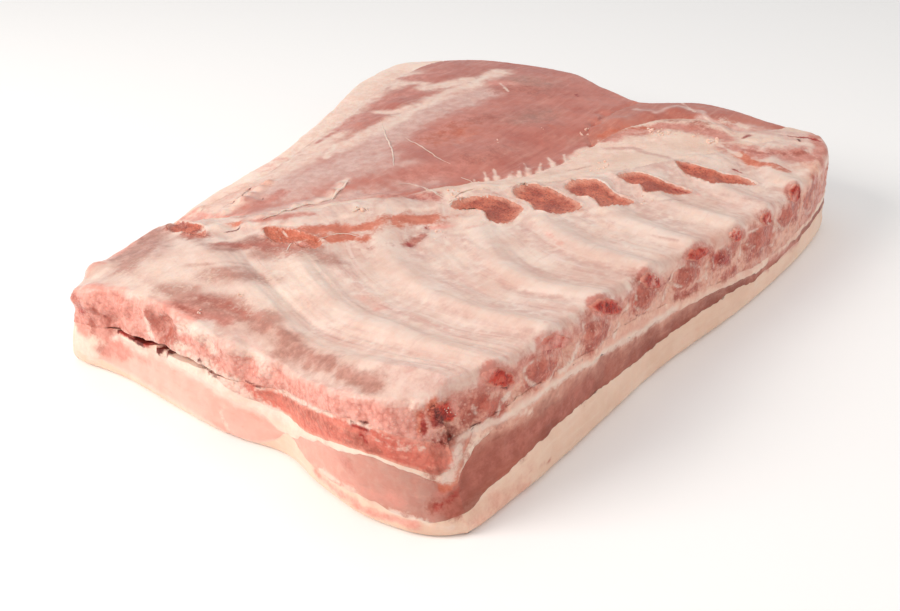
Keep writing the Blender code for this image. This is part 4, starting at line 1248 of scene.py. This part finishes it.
def shapeSheet(piece, spec, i, j, row):
    k = i * top["shape"][1] + j
    points = top["points"][k].copy()
    u = top["u"][k]
    v = top["v"][k]
    share = row / spec["rows"]
    low = row > 0
    floor = floorTop(u, v) + crackLift(u, v)
    edge = (u < hair) | (u > 1 - hair) | (v < hair) | (v > 1 - hair)
    z = points[:, 2] + share * (np.minimum(floor, points[:, 2] - sheetForm["least"]) - points[:, 2])
    points[low, 2] = z[low]
    side = low & edge
    walled, normals = wallPoints(u[side], v[side], z[side], torn=True)
    fade = smoothStep(0, sheetForm["wallStart"], share[side])[:, None]
    points[side] = points[side] * (1 - fade) + sculpted(walled, normals) * fade
    points[side, 2] = z[side]
    setVertices(piece, points)
    across, along, away = ribField(points[:, :2])
    onRibCut = (v < sheetForm["ribCut"]) & (u > hair)
    depth = top["points"][k][:, 2] - points[:, 2]
    depth += clouded("cutBorder", points) + clouded("cutBorderFine", points)
    edgeShare, inward = sheetForm["edgeCut"]
    cut = np.where(low, 1.0, edgeShare * np.clip(1 - top["gap"][k] / inward, 0, 1))
    setFloats(piece, "cut", np.where(onRibCut, smoothStep(*sheetForm["cutStart"], depth), cut))
    setFloats(piece, "up", 1 - share)
    setFloats(piece, "across", across)
    setFloats(piece, "along", along)
    setFloats(piece, "valley", 1 - np.exp(-(away.min(axis=1) / sheetForm["valleyWidth"]) ** 2))
    paint(piece, points)


for name, spec in sheetPieces.items():
    pieces[name] = addSheet(name, spec)
print("upper pieces ready")


# ribs: sawn ends on the rib cut, bared ends under the arch
ribForm = {
    "stations": 48,
    # each row of the sawn face and of the bared cap: share of the radius, distance out of the meat
    "faceRows": [(0.08, 0.6), (0.2, 0.6), (0.32, 0.65), (0.44, 0.7), (0.56, 0.7), (0.68, 0.8), (0.78, 0.8),
                 (0.86, 0.65), (0.94, 0.35), (1.02, 0.02), (1.06, -0.5), (1.02, -2.5)],
    "bodyRows": 16,
    "capRows": [(1.0, -3.5), (1.02, -0.9), (0.99, 0.05), (0.95, 0.4), (0.88, 0.55), (0.78, 0.5), (0.66, 0.4),
                (0.54, 0.45), (0.42, 0.35), (0.3, 0.4), (0.18, 0.35), (0.07, 0.38)],
    "marrow": (1.04, 0.66),             # share of the radius where the marrow starts and is full
    "capMarrow": (1.0, 0.74),
    "widening": 0.5,                    # towards the bared end
    "wideningReach": (0.8, 1.0),        # shares along a rib
    "bedding": 0.4,                     # how much deeper a rib lies than its roof of meat asks
}


def boneName(node):
    return node.replace("rib_", "ribBone")


def onSheet(pixel):
    # the point of the finished rib sheet that a pixel shows
    hit, place, _, _ = pieces["ribSheet"].ray_cast(camera.location, rayThrough(*pixel))
    if not hit:
        nearest = Vector(toScene(photoPoint(pixel)[0]))
        place = pieces["ribSheet"].closest_point_on_mesh(nearest)[1]
    return fromScene(place)


def ribBody(name, index):
    stations = ribForm["stations"]
    faceRows = ribForm["faceRows"]
    pixel = pairsOf(sawnEnds[name][0])[0]
    offsets = ovalRing("bone", 2 * np.pi * np.arange(stations) / stations, *sawnEnds[name])
    _, out = photoPoint(pixel)
    piece, station, row = ringStack(boneName(name), stations, len(faceRows) + ribForm["bodyRows"] - 1)
    points = np.zeros((len(station), 3))
    core = np.zeros(len(station))
    for k, (share, proud) in enumerate(faceRows):
        on = row == k
        ring = np.array([onSheet(pixel + offset * share) for offset in offsets])[station[on]]
        rough = clouded("sawMarks", ring) + clouded("sawWaves", ring)
        points[on] = ring + out * (proud + rough * (share < 1))[:, None]
        core[on] = smoothStep(*ribForm["marrow"], share + clouded("marrowEdge", ring))
    route = ribLines[index]
    last = len(route) - 1
    angle = 2 * np.pi * station / stations
    for k in range(ribForm["bodyRows"]):
        on = row == k + len(faceRows)
        along = (k + 1) / ribForm["bodyRows"]
        spot = 1 + along * (last - 1)
        low = int(spot)
        centre = route[low] + (spot - low) * (route[min(low + 1, last)] - route[low])
        ahead = route[min(low + 1, last)] - route[low - 1]
        ahead = ahead / np.linalg.norm(ahead)
        across = np.array([ahead[1], -ahead[0]])
        widening = 1 + ribForm["widening"] * smoothStep(*ribForm["wideningReach"], along)
        middle = surfaceHeight(*centre) - ribs["roof"] - ribs["halfHeight"] - ribForm["bedding"]
        points[on, :2] = centre + np.outer(ribs["halfWidth"] * widening * np.cos(angle[on]), across)
        points[on, 2] = middle + ribs["halfHeight"] * np.sin(angle[on])
    setVertices(piece, points)
    setFloats(piece, "core", core)
    setFloats(piece, "cut", np.ones(len(points)))
    return piece


def boneCap(name, outline):
    piece, station, row = ringStack(name, baredForm["stations"], len(ribForm["capRows"]) - 1)
    middle = outline.mean(axis=0)
    share, proud = np.array(ribForm["capRows"])[row].T
    xy = middle + (outline[station] - middle) * share[:, None]
    height = np.array([surfaceHeight(x, y) for x, y in xy])
    points = np.column_stack([xy, height + proud])
    points[:, 2] += np.where(proud > 0, clouded("boneGrain", points) + clouded("boneLumps", points), 0)
    setVertices(piece, points)
    setFloats(piece, "core", smoothStep(*ribForm["capMarrow"], share + clouded("capEdge", points)))
    setFloats(piece, "cut", np.zeros(len(points)))
    return piece


def joined(parts, name):
    bpy.ops.object.select_all(action="DESELECT")
    for part in parts:
        part.select_set(True)
    bpy.context.view_layer.objects.active = parts[0]
    if len(parts) > 1:
        bpy.ops.object.join()
    piece = bpy.context.view_layer.objects.active
    piece.name = name
    piece.data.name = name
    return piece


def addRib(name, index):
    parts = [ribBody(name, index)]
    if name in baredOutlines:
        parts.append(boneCap(name + "Cap", baredOutlines[name]))
    piece = joined(parts, boneName(name))
    paint(piece, fromScene(readVertices(piece)))
    smoothPiece(piece, smallAngle)
    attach(piece, "root")
    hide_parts(name)
    return piece


for index, name in enumerate(sawnEnds):
    pieces[boneName(name)] = addRib(name, index)
print("ribs ready")


# sinews and crumbs of fat, some crumbs standing for small glints, which have no solid of their own
sinews = {                              # pixels along each strand, radius at its middle
    "flapStrandA": ("381,121 384,131 388,141 392,150 393,158 394,166", 0.8),
    "flapStrandB": ("406,138 412,142 418,145 428,151 438,158 450,164", 0.5),
    "flapStrandC": ("395,185 408,184 418,186 430,190 440,196 448,199", 0.6),
    "flapStrandD": ("414,184 426,188 438,194 446,197", 0.45),
    "archStrandA": ("449,199 456,195 466,191 478,188", 1.0),
    "archStrandB": ("448,203 458,198 466,197", 0.8),
    "archStrandC": ("461,178 472,182 484,183", 0.5),
    "ridgeStrand": ("262,220 278,214 292,210 306,205 322,202 334,198", 1.1),
    "ridgeKnot": ("332,200 336,194 340,190 346,184 349,180", 1.2),
    "fasciaA": ("286,251 297,244 306,242 320,240", 0.6),
    "fasciaB": ("276,231 279,236 282,243", 0.5),
    "fasciaC": ("318,243 326,237 342,234 356,236 362,238", 0.5),
    "archEdgeA": ("352,212 358,209 364,208 368,211", 1.3),
}
sinewForm = {
    "lift": (0.25, 0.2),                # of its route and of its finished line, in radii
    "steps": 6,                         # rings for each pixel of its route
    "wander": (0.35, 4.0, 111),         # amount, cell, seed
    "uneven": (0.55, 3.0, 117),
    "slimness": 0.6,
    "tips": 0.15,                       # thickness left at the ends
    "taper": 0.6,
}


def addTube(name, line, radii, stations=8, flat=0.6):
    piece, station, row = ringStack(name, stations, len(line) - 1)
    ahead = np.gradient(line, axis=0)
    ahead /= np.linalg.norm(ahead, axis=1)[:, None]
    side = np.cross(ahead, [0, 0, 1])
    side /= np.maximum(np.linalg.norm(side, axis=1), 1e-9)[:, None]
    lift = np.cross(side, ahead)
    angle = 2 * np.pi * station / stations
    ring = np.cos(angle)[:, None] * side[row] + np.sin(angle)[:, None] * lift[row] * flat
    setVertices(piece, line[row] + ring * radii[row][:, None])
    return piece


def addSinew(name, text, radius):
    places = placesOf(text)
    routeLift, lineLift = sinewForm["lift"]
    places[:, 2] = [surfaceHeight(x, y) + routeLift * radius for x, y, _ in places]
    line = pathOf(places)(np.linspace(0, 1, sinewForm["steps"] * len(places)))
    line[:, 2] = [surfaceHeight(x, y) + lineLift * radius for x, y, _ in line]
    amount, cell, seed = sinewForm["wander"]
    line += np.column_stack([amount * noise(line, cell, seed + k) for k in range(3)])
    t = np.clip(np.linspace(0, 1, len(line)), 0.02, 0.98)
    swell = np.sin(np.pi * t) ** sinewForm["taper"]
    amount, cell, seed = sinewForm["uneven"]
    uneven = 1 + amount * noise(line, cell, seed)
    tips = sinewForm["tips"]
    return addTube(name, line, sinewForm["slimness"] * radius * (tips + (1 - tips) * swell) * uneven)


def addSinews():
    parts = [addSinew(name, text, radius) for name, (text, radius) in sinews.items()]
    piece = joined(parts, "sinewStrands")
    paintPlain(piece)
    return piece


crumbs = {
    "seed": 7,
    "areas": [                          # corners in pixels, number, least and greatest radius
        ("648,128 672,136", 16, 0.5, 1.1), ("706,139 718,145", 8, 0.5, 1.0), ("672,130 700,138", 6, 0.4, 0.7),
        ("578,129 590,136", 6, 0.4, 0.8), ("496,140 504,146", 2, 0.3, 0.5), ("540,126 545,130", 2, 0.3, 0.5),
        ("352,206 368,212", 6, 0.5, 0.9), ("446,190 462,198", 8, 0.5, 0.9), ("640,196 660,204", 4, 0.4, 0.7),
        ("432,224 450,240", 4, 0.3, 0.6), ("586,162 612,172", 8, 0.4, 0.8), ("440,404 456,416", 6, 0.2, 0.4),
        # the last two areas on the next line put pale crumbs on two small glints of the wet membrane: painted
        # highlights as lumps
        ("620,196 634,204", 4, 0.3, 0.6), ("197,308 201,316", 3, 0.5, 0.9), ("238,293 242,297", 2, 0.5, 0.8),
    ],
    "stretch": (0.5, 1.6),
    "bumps": (0.45, 0.8),               # amount and cell, in radii
    "levelFrom": 0.6,                   # upward share of a normal from which a crumb lies on the top
}


def addCrumbs():
    draw = np.random.default_rng(crumbs["seed"])
    parts = []
    bpy.ops.object.select_all(action="DESELECT")
    bpy.ops.mesh.primitive_ico_sphere_add(subdivisions=2, radius=1)
    model = newPiece("crumbModel")
    shape = readVertices(model)
    amount, cell = crumbs["bumps"]
    for text, count, least, greatest in crumbs["areas"]:
        (left, upper), (right, lower) = pairsOf(text)
        for _ in range(count):
            pixel = (draw.uniform(left, right), draw.uniform(upper, lower))
            place, normal = photoPoint(pixel)
            size = draw.uniform(least, greatest)
            stretch = draw.uniform(*crumbs["stretch"], 3)
            bumps = 1 + amount * noise(shape, cell, int(draw.integers(1, 900)))
            if normal[2] > crumbs["levelFrom"]:
                place[2] = surfaceHeight(place[0], place[1])
            else:
                place += normal * wallPush(place[None])[0]
            copy = model.copy()
            copy.data = model.data.copy()
            bpy.context.scene.collection.objects.link(copy)
            setVertices(copy, shape * stretch * bumps[:, None] * size + place)
            parts.append(copy)
    bpy.data.objects.remove(model)
    piece = joined(parts, "fatCrumbsAndGlints")
    paintPlain(piece)
    return piece


def paintPlain(piece):
    for name in (*strokes, "cut"):
        setFloats(piece, name, np.zeros(len(piece.data.vertices)))
    smoothPiece(piece, smallAngle)
    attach(piece, "root")


pieces["sinewStrands"] = addSinews()
pieces["fatCrumbsAndGlints"] = addCrumbs()
print("small pieces ready")


# materials
def toLinear(hexColour):
    value = hexColour.lstrip("#")
    channels = [int(value[k:k + 2], 16) / 255 for k in (0, 2, 4)]
    return tuple(c / 12.92 if c <= 0.04045 else ((c + 0.055) / 1.055) ** 2.4 for c in channels) + (1.0,)


def addNode(tree, kind, settings, output=0):
    # a node with its settings and links: a socket is linked, anything else is set
    node = tree.nodes.new("ShaderNode" + kind)
    for key, value in settings.items():
        if isinstance(key, str) and hasattr(node, key):
            setattr(node, key, value)
        elif isinstance(value, bpy.types.NodeSocket):
            tree.links.new(value, node.inputs[key])
        else:
            node.inputs[key].default_value = toLinear(value) if isinstance(value, str) else value
    return node.outputs[output] if node.outputs else None


def perMetre(size):
    return 1 / (size * millimetre)      # texture scale for a feature of that many millimetres


def fieldNoise(tree, place, size, detail=4.0, roughness=0.55):
    return addNode(tree, "TexNoise", {"Scale": perMetre(size), "Detail": detail, "Roughness": roughness,
                                      "Vector": place})


def cellsOf(tree, place, size):
    return addNode(tree, "TexVoronoi", {"Scale": perMetre(size), "Randomness": 1.0, "Vector": place})


def mixColour(tree, factor, below, above):
    return addNode(tree, "Mix", {"data_type": "RGBA", 0: factor, 6: below, 7: above}, 2)


def ramped(tree, value, low, high, top=1.0):
    return addNode(tree, "MapRange", {"interpolation_type": "SMOOTHSTEP", "Value": value, "From Min": low,
                                      "From Max": high, "To Max": top})


def maths(tree, operation, *values):
    return addNode(tree, "Math", {"operation": operation, **dict(enumerate(values))})


def sumOf(tree, a, b, scale=1.0):
    return maths(tree, "MULTIPLY_ADD", b, scale, a)


def product(tree, a, b):
    return maths(tree, "MULTIPLY", a, b)


def attributeOf(tree, name):
    return addNode(tree, "Attribute", {"attribute_name": name}, "Fac")


def bumped(tree, height, distance, below=None):
    settings = {"Strength": 1.0, "Distance": distance * millimetre, "Height": height}
    if below:
        settings["Normal"] = below
    return addNode(tree, "Bump", settings)


def borderBlend(tree, colour, tone, fine):
    # meat pales where it meets the fat above and below
    middle = maths(tree, "PINGPONG", attributeOf(tree, "up"), 0.5)
    return mixColour(tree, ramped(tree, sumOf(tree, middle, fine, 0.12), 0.22, 0.06, 0.6), colour, tone)


def granular(tree, colour, spec, cells, cut, middling):
    # torn or cut meat: small pale bundles with darker gaps
    _, pale, dark, amount = spec["granules"]
    seen = product(tree, cut, ramped(tree, middling, 0.3, 0.6, amount))
    colour = mixColour(tree, product(tree, seen, ramped(tree, cells, 0.34, 0.1)), colour, pale)
    return mixColour(tree, product(tree, seen, ramped(tree, cells, 0.5, 0.8)), colour, dark)


def ribTint(tree, colour, spec, cut, middling):
    # what shows through the membrane: dusky valleys, and hair lines that follow the ribs or fan out from them
    across = attributeOf(tree, "across")
    along = attributeOf(tree, "along")
    valley = ramped(tree, attributeOf(tree, "valley"), 0.0, 0.8)
    onTop = product(tree, maths(tree, "SUBTRACT", 1.0, cut), ramped(tree, middling, 0.3, 0.6))
    for acrossScale, alongScale, slant, low, high, tone, amount in spec["valley"]:
        lane = sumOf(tree, product(tree, across, acrossScale), along, slant)
        place = addNode(tree, "CombineXYZ", {0: lane, 1: product(tree, along, alongScale)})
        bands = addNode(tree, "TexNoise", {"Scale": 1.0, "Detail": 3.0, "Roughness": 0.6, "Vector": place})
        shown = product(tree, ramped(tree, bands, low, high, amount), onTop)
        colour = mixColour(tree, product(tree, shown, valley), colour, tone)
    return colour


strokeColours = {                       # two tones of each kind, softness of its edge, raggedness, strength
    "fat": ("#F6DACB", "#EDC6B5", 0.50, 0.35, 0.95),
    "fascia": ("#E2BDB2", "#D3A498", 0.50, 0.3, 0.9),
    "edge": ("#F0BCA6", "#E0A18D", 0.50, 0.4, 0.9),
    "faint": ("#DAB1A4", "#C99C90", 0.50, 0.3, 0.8),
    "rose": ("#D68D7F", "#C27668", 0.48, 0.5, 0.9),
    "pink": ("#EFA99A", "#DF9283", 0.46, 0.5, 0.85),
    "dusk": ("#C58C7D", "#A97264", 0.50, 0.25, 0.9),
    "lean": ("#C27363", "#A65949", 0.42, 0.8, 0.9),
    "lump": ("#CC6D5A", "#A54E40", 0.38, 0.55, 0.95),
    "ember": ("#DC8065", "#C5664A", 0.36, 0.8, 0.95),
    "pale": ("#F6E0D2", "#EFD0BF", 0.42, 1.2, 0.8),
    "blood": ("#B8342A", "#8E1E18", 0.42, 0.9, 0.95),
    # dark: painted shade of cracks, creases and hollows, over the dark red of torn meat
    "dark": ("#8A3A30", "#5A1C16", 0.40, 0.9, 0.95),
}


def painted(tree, colour, kinds, ragged, middling, fine):
    # the strokes over a colour, each kind with its own ragged edge
    toneShare = ramped(tree, sumOf(tree, middling, fine, 0.5), 0.55, 0.95)
    for kind in kinds:
        light, deep, soft, torn, strength = strokeColours[kind]
        mask = attributeOf(tree, kind)
        edge = maths(tree, "MULTIPLY_ADD", ragged, torn, -1.3 * torn)
        shown = ramped(tree, sumOf(tree, mask, edge), 0.5 - soft, 0.5 + soft, strength)
        shown = product(tree, shown, ramped(tree, mask, 0.02, 0.2))
        colour = mixColour(tree, shown, colour, mixColour(tree, toneShare, light, deep))
    return colour


def newMaterial(name):
    material = bpy.data.materials.new(name)
    material.use_nodes = True
    material.node_tree.nodes.clear()
    return material


def fleshMaterial(name, spec):
    material = newMaterial(name)
    tree = material.node_tree
    place = addNode(tree, "TexCoord", {}, "Object")
    turn = (0, 0, math.radians(spec["grainTurn"]))
    lengthwise = addNode(tree, "Mapping", {"Rotation": turn, "Scale": spec["grainStretch"], "Vector": place})
    fine = fieldNoise(tree, place, 1.3, 3.0)
    middling = fieldNoise(tree, place, 5.0)
    wide = fieldNoise(tree, place, 24.0, roughness=0.5)
    grain = fieldNoise(tree, lengthwise, spec["grainSize"], roughness=0.6)
    cut = attributeOf(tree, "cut")
    colour = mixColour(tree, ramped(tree, sumOf(tree, wide, middling, 0.35), 0.42, 0.92), *spec["face"])
    if "cutFace" in spec:
        cutColour = mixColour(tree, ramped(tree, middling, 0.38, 0.62), *spec["cutFace"])
        colour = mixColour(tree, cut, colour, cutColour)
    colour = mixColour(tree, ramped(tree, grain, 0.5, 0.75, spec["grainAmount"]), colour, spec["grainColour"])
    colour = mixColour(tree, ramped(tree, grain, 0.45, 0.25, spec["grainAmount"]), colour, spec["grainDark"])
    if "paleEnd" in spec:
        pale = mixColour(tree, ramped(tree, middling, 0.4, 0.62), *spec["paleEnd"])
        colour = mixColour(tree, product(tree, attributeOf(tree, "paleEnd"), 0.85), colour, pale)
    if "edgeFat" in spec:
        colour = borderBlend(tree, colour, spec["edgeFat"], fine)
    if "valley" in spec:
        colour = ribTint(tree, colour, spec, cut, middling)
    ragged = sumOf(tree, sumOf(tree, fine, middling), grain, 0.6)
    colour = painted(tree, colour, strokes, ragged, middling, fine)
    bump = bumped(tree, fine, spec["bumpFine"])
    if "granules" in spec:
        cells = cellsOf(tree, place, spec["granules"][0])
        colour = granular(tree, colour, spec, cells, cut, middling)
        bump = bumped(tree, product(tree, product(tree, cells, -1.0), cut), 0.5, bump)
    bump = bumped(tree, grain, spec["bumpGrain"], bump)
    smooth, rough = spec["rough"]
    wet = addNode(tree, "MapRange", {"Value": middling, "To Min": smooth, "To Max": rough})
    shader = addNode(tree, "BsdfPrincipled", {
        "Base Color": colour, "Roughness": wet, "Normal": bump, "IOR": 1.38, "Specular IOR Level": 0.4,
        "Subsurface Weight": spec["depth"], "Subsurface Radius": (1.0, 0.35, 0.22),
        "Subsurface Scale": 0.0022, "Coat Weight": spec["coat"], "Coat Roughness": 0.22, "Coat IOR": 1.35,
    })
    addNode(tree, "OutputMaterial", {"Surface": shader})
    return material


plainGrain = {
    "grainTurn": 0, "grainStretch": (1, 1, 1), "grainSize": 3.0, "grainAmount": 0.25, "bumpFine": 0.12,
    "bumpGrain": 0.25, "rough": (0.34, 0.52), "depth": 0.2, "coat": 0.15,
}
fleshes = {
    # thin moist membrane over the ribs: smooth, half clear, so the pink below tints it
    "wetPleura": {
        "face": ("#F0D8CB", "#E2BEAE"), "cutFace": ("#E4A596", "#D18879"),
        "granules": (1.8, "#F6C9B8", "#B9604F", 0.42),
        "grainTurn": -30, "grainStretch": (0.16, 1, 1), "grainColour": "#F0DACE", "grainDark": "#D3A79B",
        "grainAmount": 0.3, "rough": (0.28, 0.46), "coat": 0.3,
        # lanes across and along the ribs, slant, from, to, tint, strength
        "valley": [
            (2.2, 2.0, 0.4, 0.36, 0.66, "#D3A497", 0.65), (8.0, 2.2, 2.0, 0.46, 0.72, "#CC968A", 0.5),
            (22.0, 4.0, 9.0, 0.56, 0.74, "#C28679", 0.4), (12.0, 2.2, 3.0, 0.46, 0.26, "#F6E5DB", 0.5),
        ],
    },
    # firm cream fat and gristle of the costal arch
    "archGristle": {
        "face": ("#F0D3C2", "#E6C2AF"), "cutFace": ("#E8B9A3", "#DCA48E"),
        "grainColour": "#F6E2D5", "grainDark": "#D7A595", "grainAmount": 0.35,
    },
    # thin sheet muscle of the flap with its fascia: long soft fibres, wet
    "flapMuscle": {
        "face": ("#CB7F70", "#B66557"), "cutFace": ("#D08A7C", "#C27568"),
        "grainTurn": -24, "grainStretch": (0.14, 1, 1), "grainSize": 3.6, "grainColour": "#DBA292",
        "grainDark": "#A8584B", "grainAmount": 0.4, "rough": (0.28, 0.44), "coat": 0.3,
    },
    # shorter, thicker fibres of the roll at the flank end, wet
    "rollMuscle": {
        "face": ("#C77C6A", "#B66656"), "cutFace": ("#CF8A7A", "#BE7468"),
        "grainTurn": 20, "grainStretch": (0.2, 1, 1), "grainColour": "#DBA492", "grainDark": "#A95E54",
        "grainAmount": 0.4, "rough": (0.28, 0.44), "coat": 0.3,
    },
    # soft fat along the belly edge
    "rimFat": {"face": ("#FFE8DA", "#FBD5C4"), "grainColour": "#FFF0E6", "grainDark": "#EDB8A6"},
    # fat between the muscles, cut: smooth and greasy
    "seamFat": {"face": ("#FBE2D0", "#F0CBB7"), "grainColour": "#FFF4E8", "grainDark": "#E0AC98"},
    # back fat, cut through: dense, cream, with faint pink threads
    "backFat": {
        "face": ("#F3D3BD", "#EAC4AC"), "grainStretch": (0.12, 0.12, 1), "grainSize": 2.4,
        "grainColour": "#FBE6D5", "grainDark": "#E0AE98", "grainAmount": 0.3,
    },
    # lean muscle cut across its fibres, darkest along the rib cut
    "outerLean": {
        "face": ("#B0604D", "#8E4535"), "paleEnd": ("#EDB2A2", "#F4C3B2"), "grainStretch": (0.3, 0.3, 1),
        "grainSize": 2.0, "grainColour": "#C27B67", "grainDark": "#85402F", "grainAmount": 0.45,
        "bumpGrain": 0.35,
    },
    # pale young lean of the breast, cut
    "breastLean": {
        "face": ("#F3BFB0", "#EAAE9E"), "edgeFat": "#F8D8C8", "grainStretch": (0.4, 0.4, 1),
        "grainColour": "#F8C9B6", "grainDark": "#DB8C7A", "grainAmount": 0.35,
    },
    # redder, coarser lean under the ribs, cut
    "innerLean": {
        "face": ("#E68975", "#CE6958"), "edgeFat": "#F2AE98", "granules": (2.2, "#F0A892", "#B4503F", 0.3),
        "grainStretch": (0.3, 0.3, 1), "grainSize": 2.2, "grainColour": "#EDA28E", "grainDark": "#B9544A",
        "grainAmount": 0.5, "bumpGrain": 0.35,
    },
    # loose shreds of fat
    "looseCrumb": {"face": ("#F3D2C2", "#E6B5A3"), "grainColour": "#FBE8DC", "grainDark": "#D79C8A"},
    # sinew: nearly white, half clear
    "sinew": {"face": ("#F0D6C8", "#E7C5B5"), "grainColour": "#FFF3E8", "grainDark": "#DDB09E", "depth": 0.3},
}
pieceFinish = {
    "ribSheet": "wetPleura", "costalArchFat": "archGristle", "bellyFlap": "flapMuscle",
    "flankRoll": "rollMuscle", "bellyRim": "rimFat", "seamFatLayer": "seamFat", "backFatSlab": "backFat",
    "outerLeanBand": "outerLean", "breastLeanLens": "breastLean", "innerLeanBand": "innerLean",
    "sinewStrands": "sinew", "fatCrumbsAndGlints": "looseCrumb",
}


def boneMaterial(name):
    # sawn spongy bone: dark red marrow in fine pores, a paler rim round it
    material = newMaterial(name)
    tree = material.node_tree
    place = addNode(tree, "TexCoord", {}, "Object")
    fine = fieldNoise(tree, place, 1.0, 3.0)
    patches = fieldNoise(tree, place, 3.2, 3.0)
    middling = fieldNoise(tree, place, 4.0)
    wide = fieldNoise(tree, place, 11.0, 3.0)
    pores = cellsOf(tree, place, 1.5)
    core = attributeOf(tree, "core")
    porous = product(tree, ramped(tree, pores, 0.45, 0.15, 0.85), ramped(tree, middling, 0.36, 0.56))
    capFlesh = mixColour(tree, ramped(tree, sumOf(tree, wide, middling, 0.5), 0.6, 0.9), "#D0735A", "#AB5342")
    marrow = mixColour(tree, ramped(tree, middling, 0.35, 0.65), "#D0402B", "#AC2817")
    for share, tone in ((porous, "#8A3B2F"), (ramped(tree, fine, 0.62, 0.74, 0.5), "#E6A48E")):
        capFlesh = mixColour(tree, share, capFlesh, tone)
    for value, low, high, amount, tone in (
        (pores, 0.4, 0.15, 0.8, "#7C1A16"), (fine, 0.64, 0.74, 0.45, "#E08E80"),
        (patches, 0.50, 0.60, 0.6, "#D86F5A"), (patches, 0.44, 0.36, 0.7, "#861F17"),
    ):
        marrow = mixColour(tree, ramped(tree, value, low, high, amount), marrow, tone)
    capFlesh = mixColour(tree, core, "#DF9A84", capFlesh)
    marrow = mixColour(tree, core, "#DD9480", marrow)
    colour = mixColour(tree, attributeOf(tree, "cut"), capFlesh, marrow)
    ragged = sumOf(tree, sumOf(tree, fine, middling), patches, 0.6)
    colour = painted(tree, colour, ("pink", "ember", "pale", "blood", "dark"), ragged, middling, fine)
    shader = addNode(tree, "BsdfPrincipled", {
        "Base Color": colour, "Roughness": 0.45, "Normal": bumped(tree, fine, 0.3, bumped(tree, pores, 0.5)),
        "IOR": 1.4, "Subsurface Weight": 0.12, "Subsurface Radius": (1.0, 0.3, 0.2),
        "Subsurface Scale": 0.0015, "Coat Weight": 0.12, "Coat Roughness": 0.25,
    })
    addNode(tree, "OutputMaterial", {"Surface": shader})
    return material


finished = {name: fleshMaterial(name, {**plainGrain, **spec}) for name, spec in fleshes.items()}
finished["sawnRibBone"] = boneMaterial("sawnRibBone")
for name, piece in pieces.items():
    piece.data.materials.clear()
    piece.data.materials.append(finished[pieceFinish.get(name, "sawnRibBone")])
print("materials ready")


# floor, light
studio = {
    "floor": "#FFFFFF",
    "floorSize": 8.0,                   # metres, like the gap below the skin
    "floorGap": 0.0003,
    "target": (0.0, 0.0, 0.03),
    "world": "#FFFFFF",
    "worldStrength": 0.52,
    "lamps": {                          # place in metres, size, watts, colour
        "keySoftbox": ((-1.0, 0.6, 0.8), 0.7, 13.5, "#FFF6EE"),
        "overheadSoftbox": ((0.1, 0.0, 1.5), 1.3, 3.5, "#FFFFFF"),
        "sideSoftbox": ((0.2, -1.2, 0.6), 0.9, 2.5, "#FFF2E6"),
    },
}


def addFloor():
    bpy.ops.object.select_all(action="DESELECT")
    bpy.ops.mesh.primitive_plane_add(size=studio["floorSize"], location=(0, 0, -studio["floorGap"]))
    floor = newPiece("paleFloor")
    bpy.ops.object.transform_apply(location=True)
    material = bpy.data.materials.new("matteFloor")
    material.use_nodes = True
    shader = material.node_tree.nodes["Principled BSDF"]
    shader.inputs["Base Color"].default_value = toLinear(studio["floor"])
    shader.inputs["Roughness"].default_value = 0.9
    floor.data.materials.append(material)


def addLamps():
    target = Vector(studio["target"])
    for name, (place, size, watts, colour) in studio["lamps"].items():
        data = bpy.data.lights.new(name, "AREA")
        data.size = size
        data.energy = watts
        data.color = toLinear(colour)[:3]
        lamp = bpy.data.objects.new(name, data)
        lamp.location = place
        lamp.rotation_euler = (target - Vector(place)).to_track_quat("-Z", "Y").to_euler()
        bpy.context.scene.collection.objects.link(lamp)
    world = bpy.data.worlds.new("paleRoom")
    bpy.context.scene.world = world
    world.use_nodes = True
    backdrop = world.node_tree.nodes["Background"]
    backdrop.inputs["Color"].default_value = toLinear(studio["world"])
    backdrop.inputs["Strength"].default_value = studio["worldStrength"]


addFloor()
addLamps()
bpy.context.scene.view_settings.view_transform = "Standard"
print("studio ready")
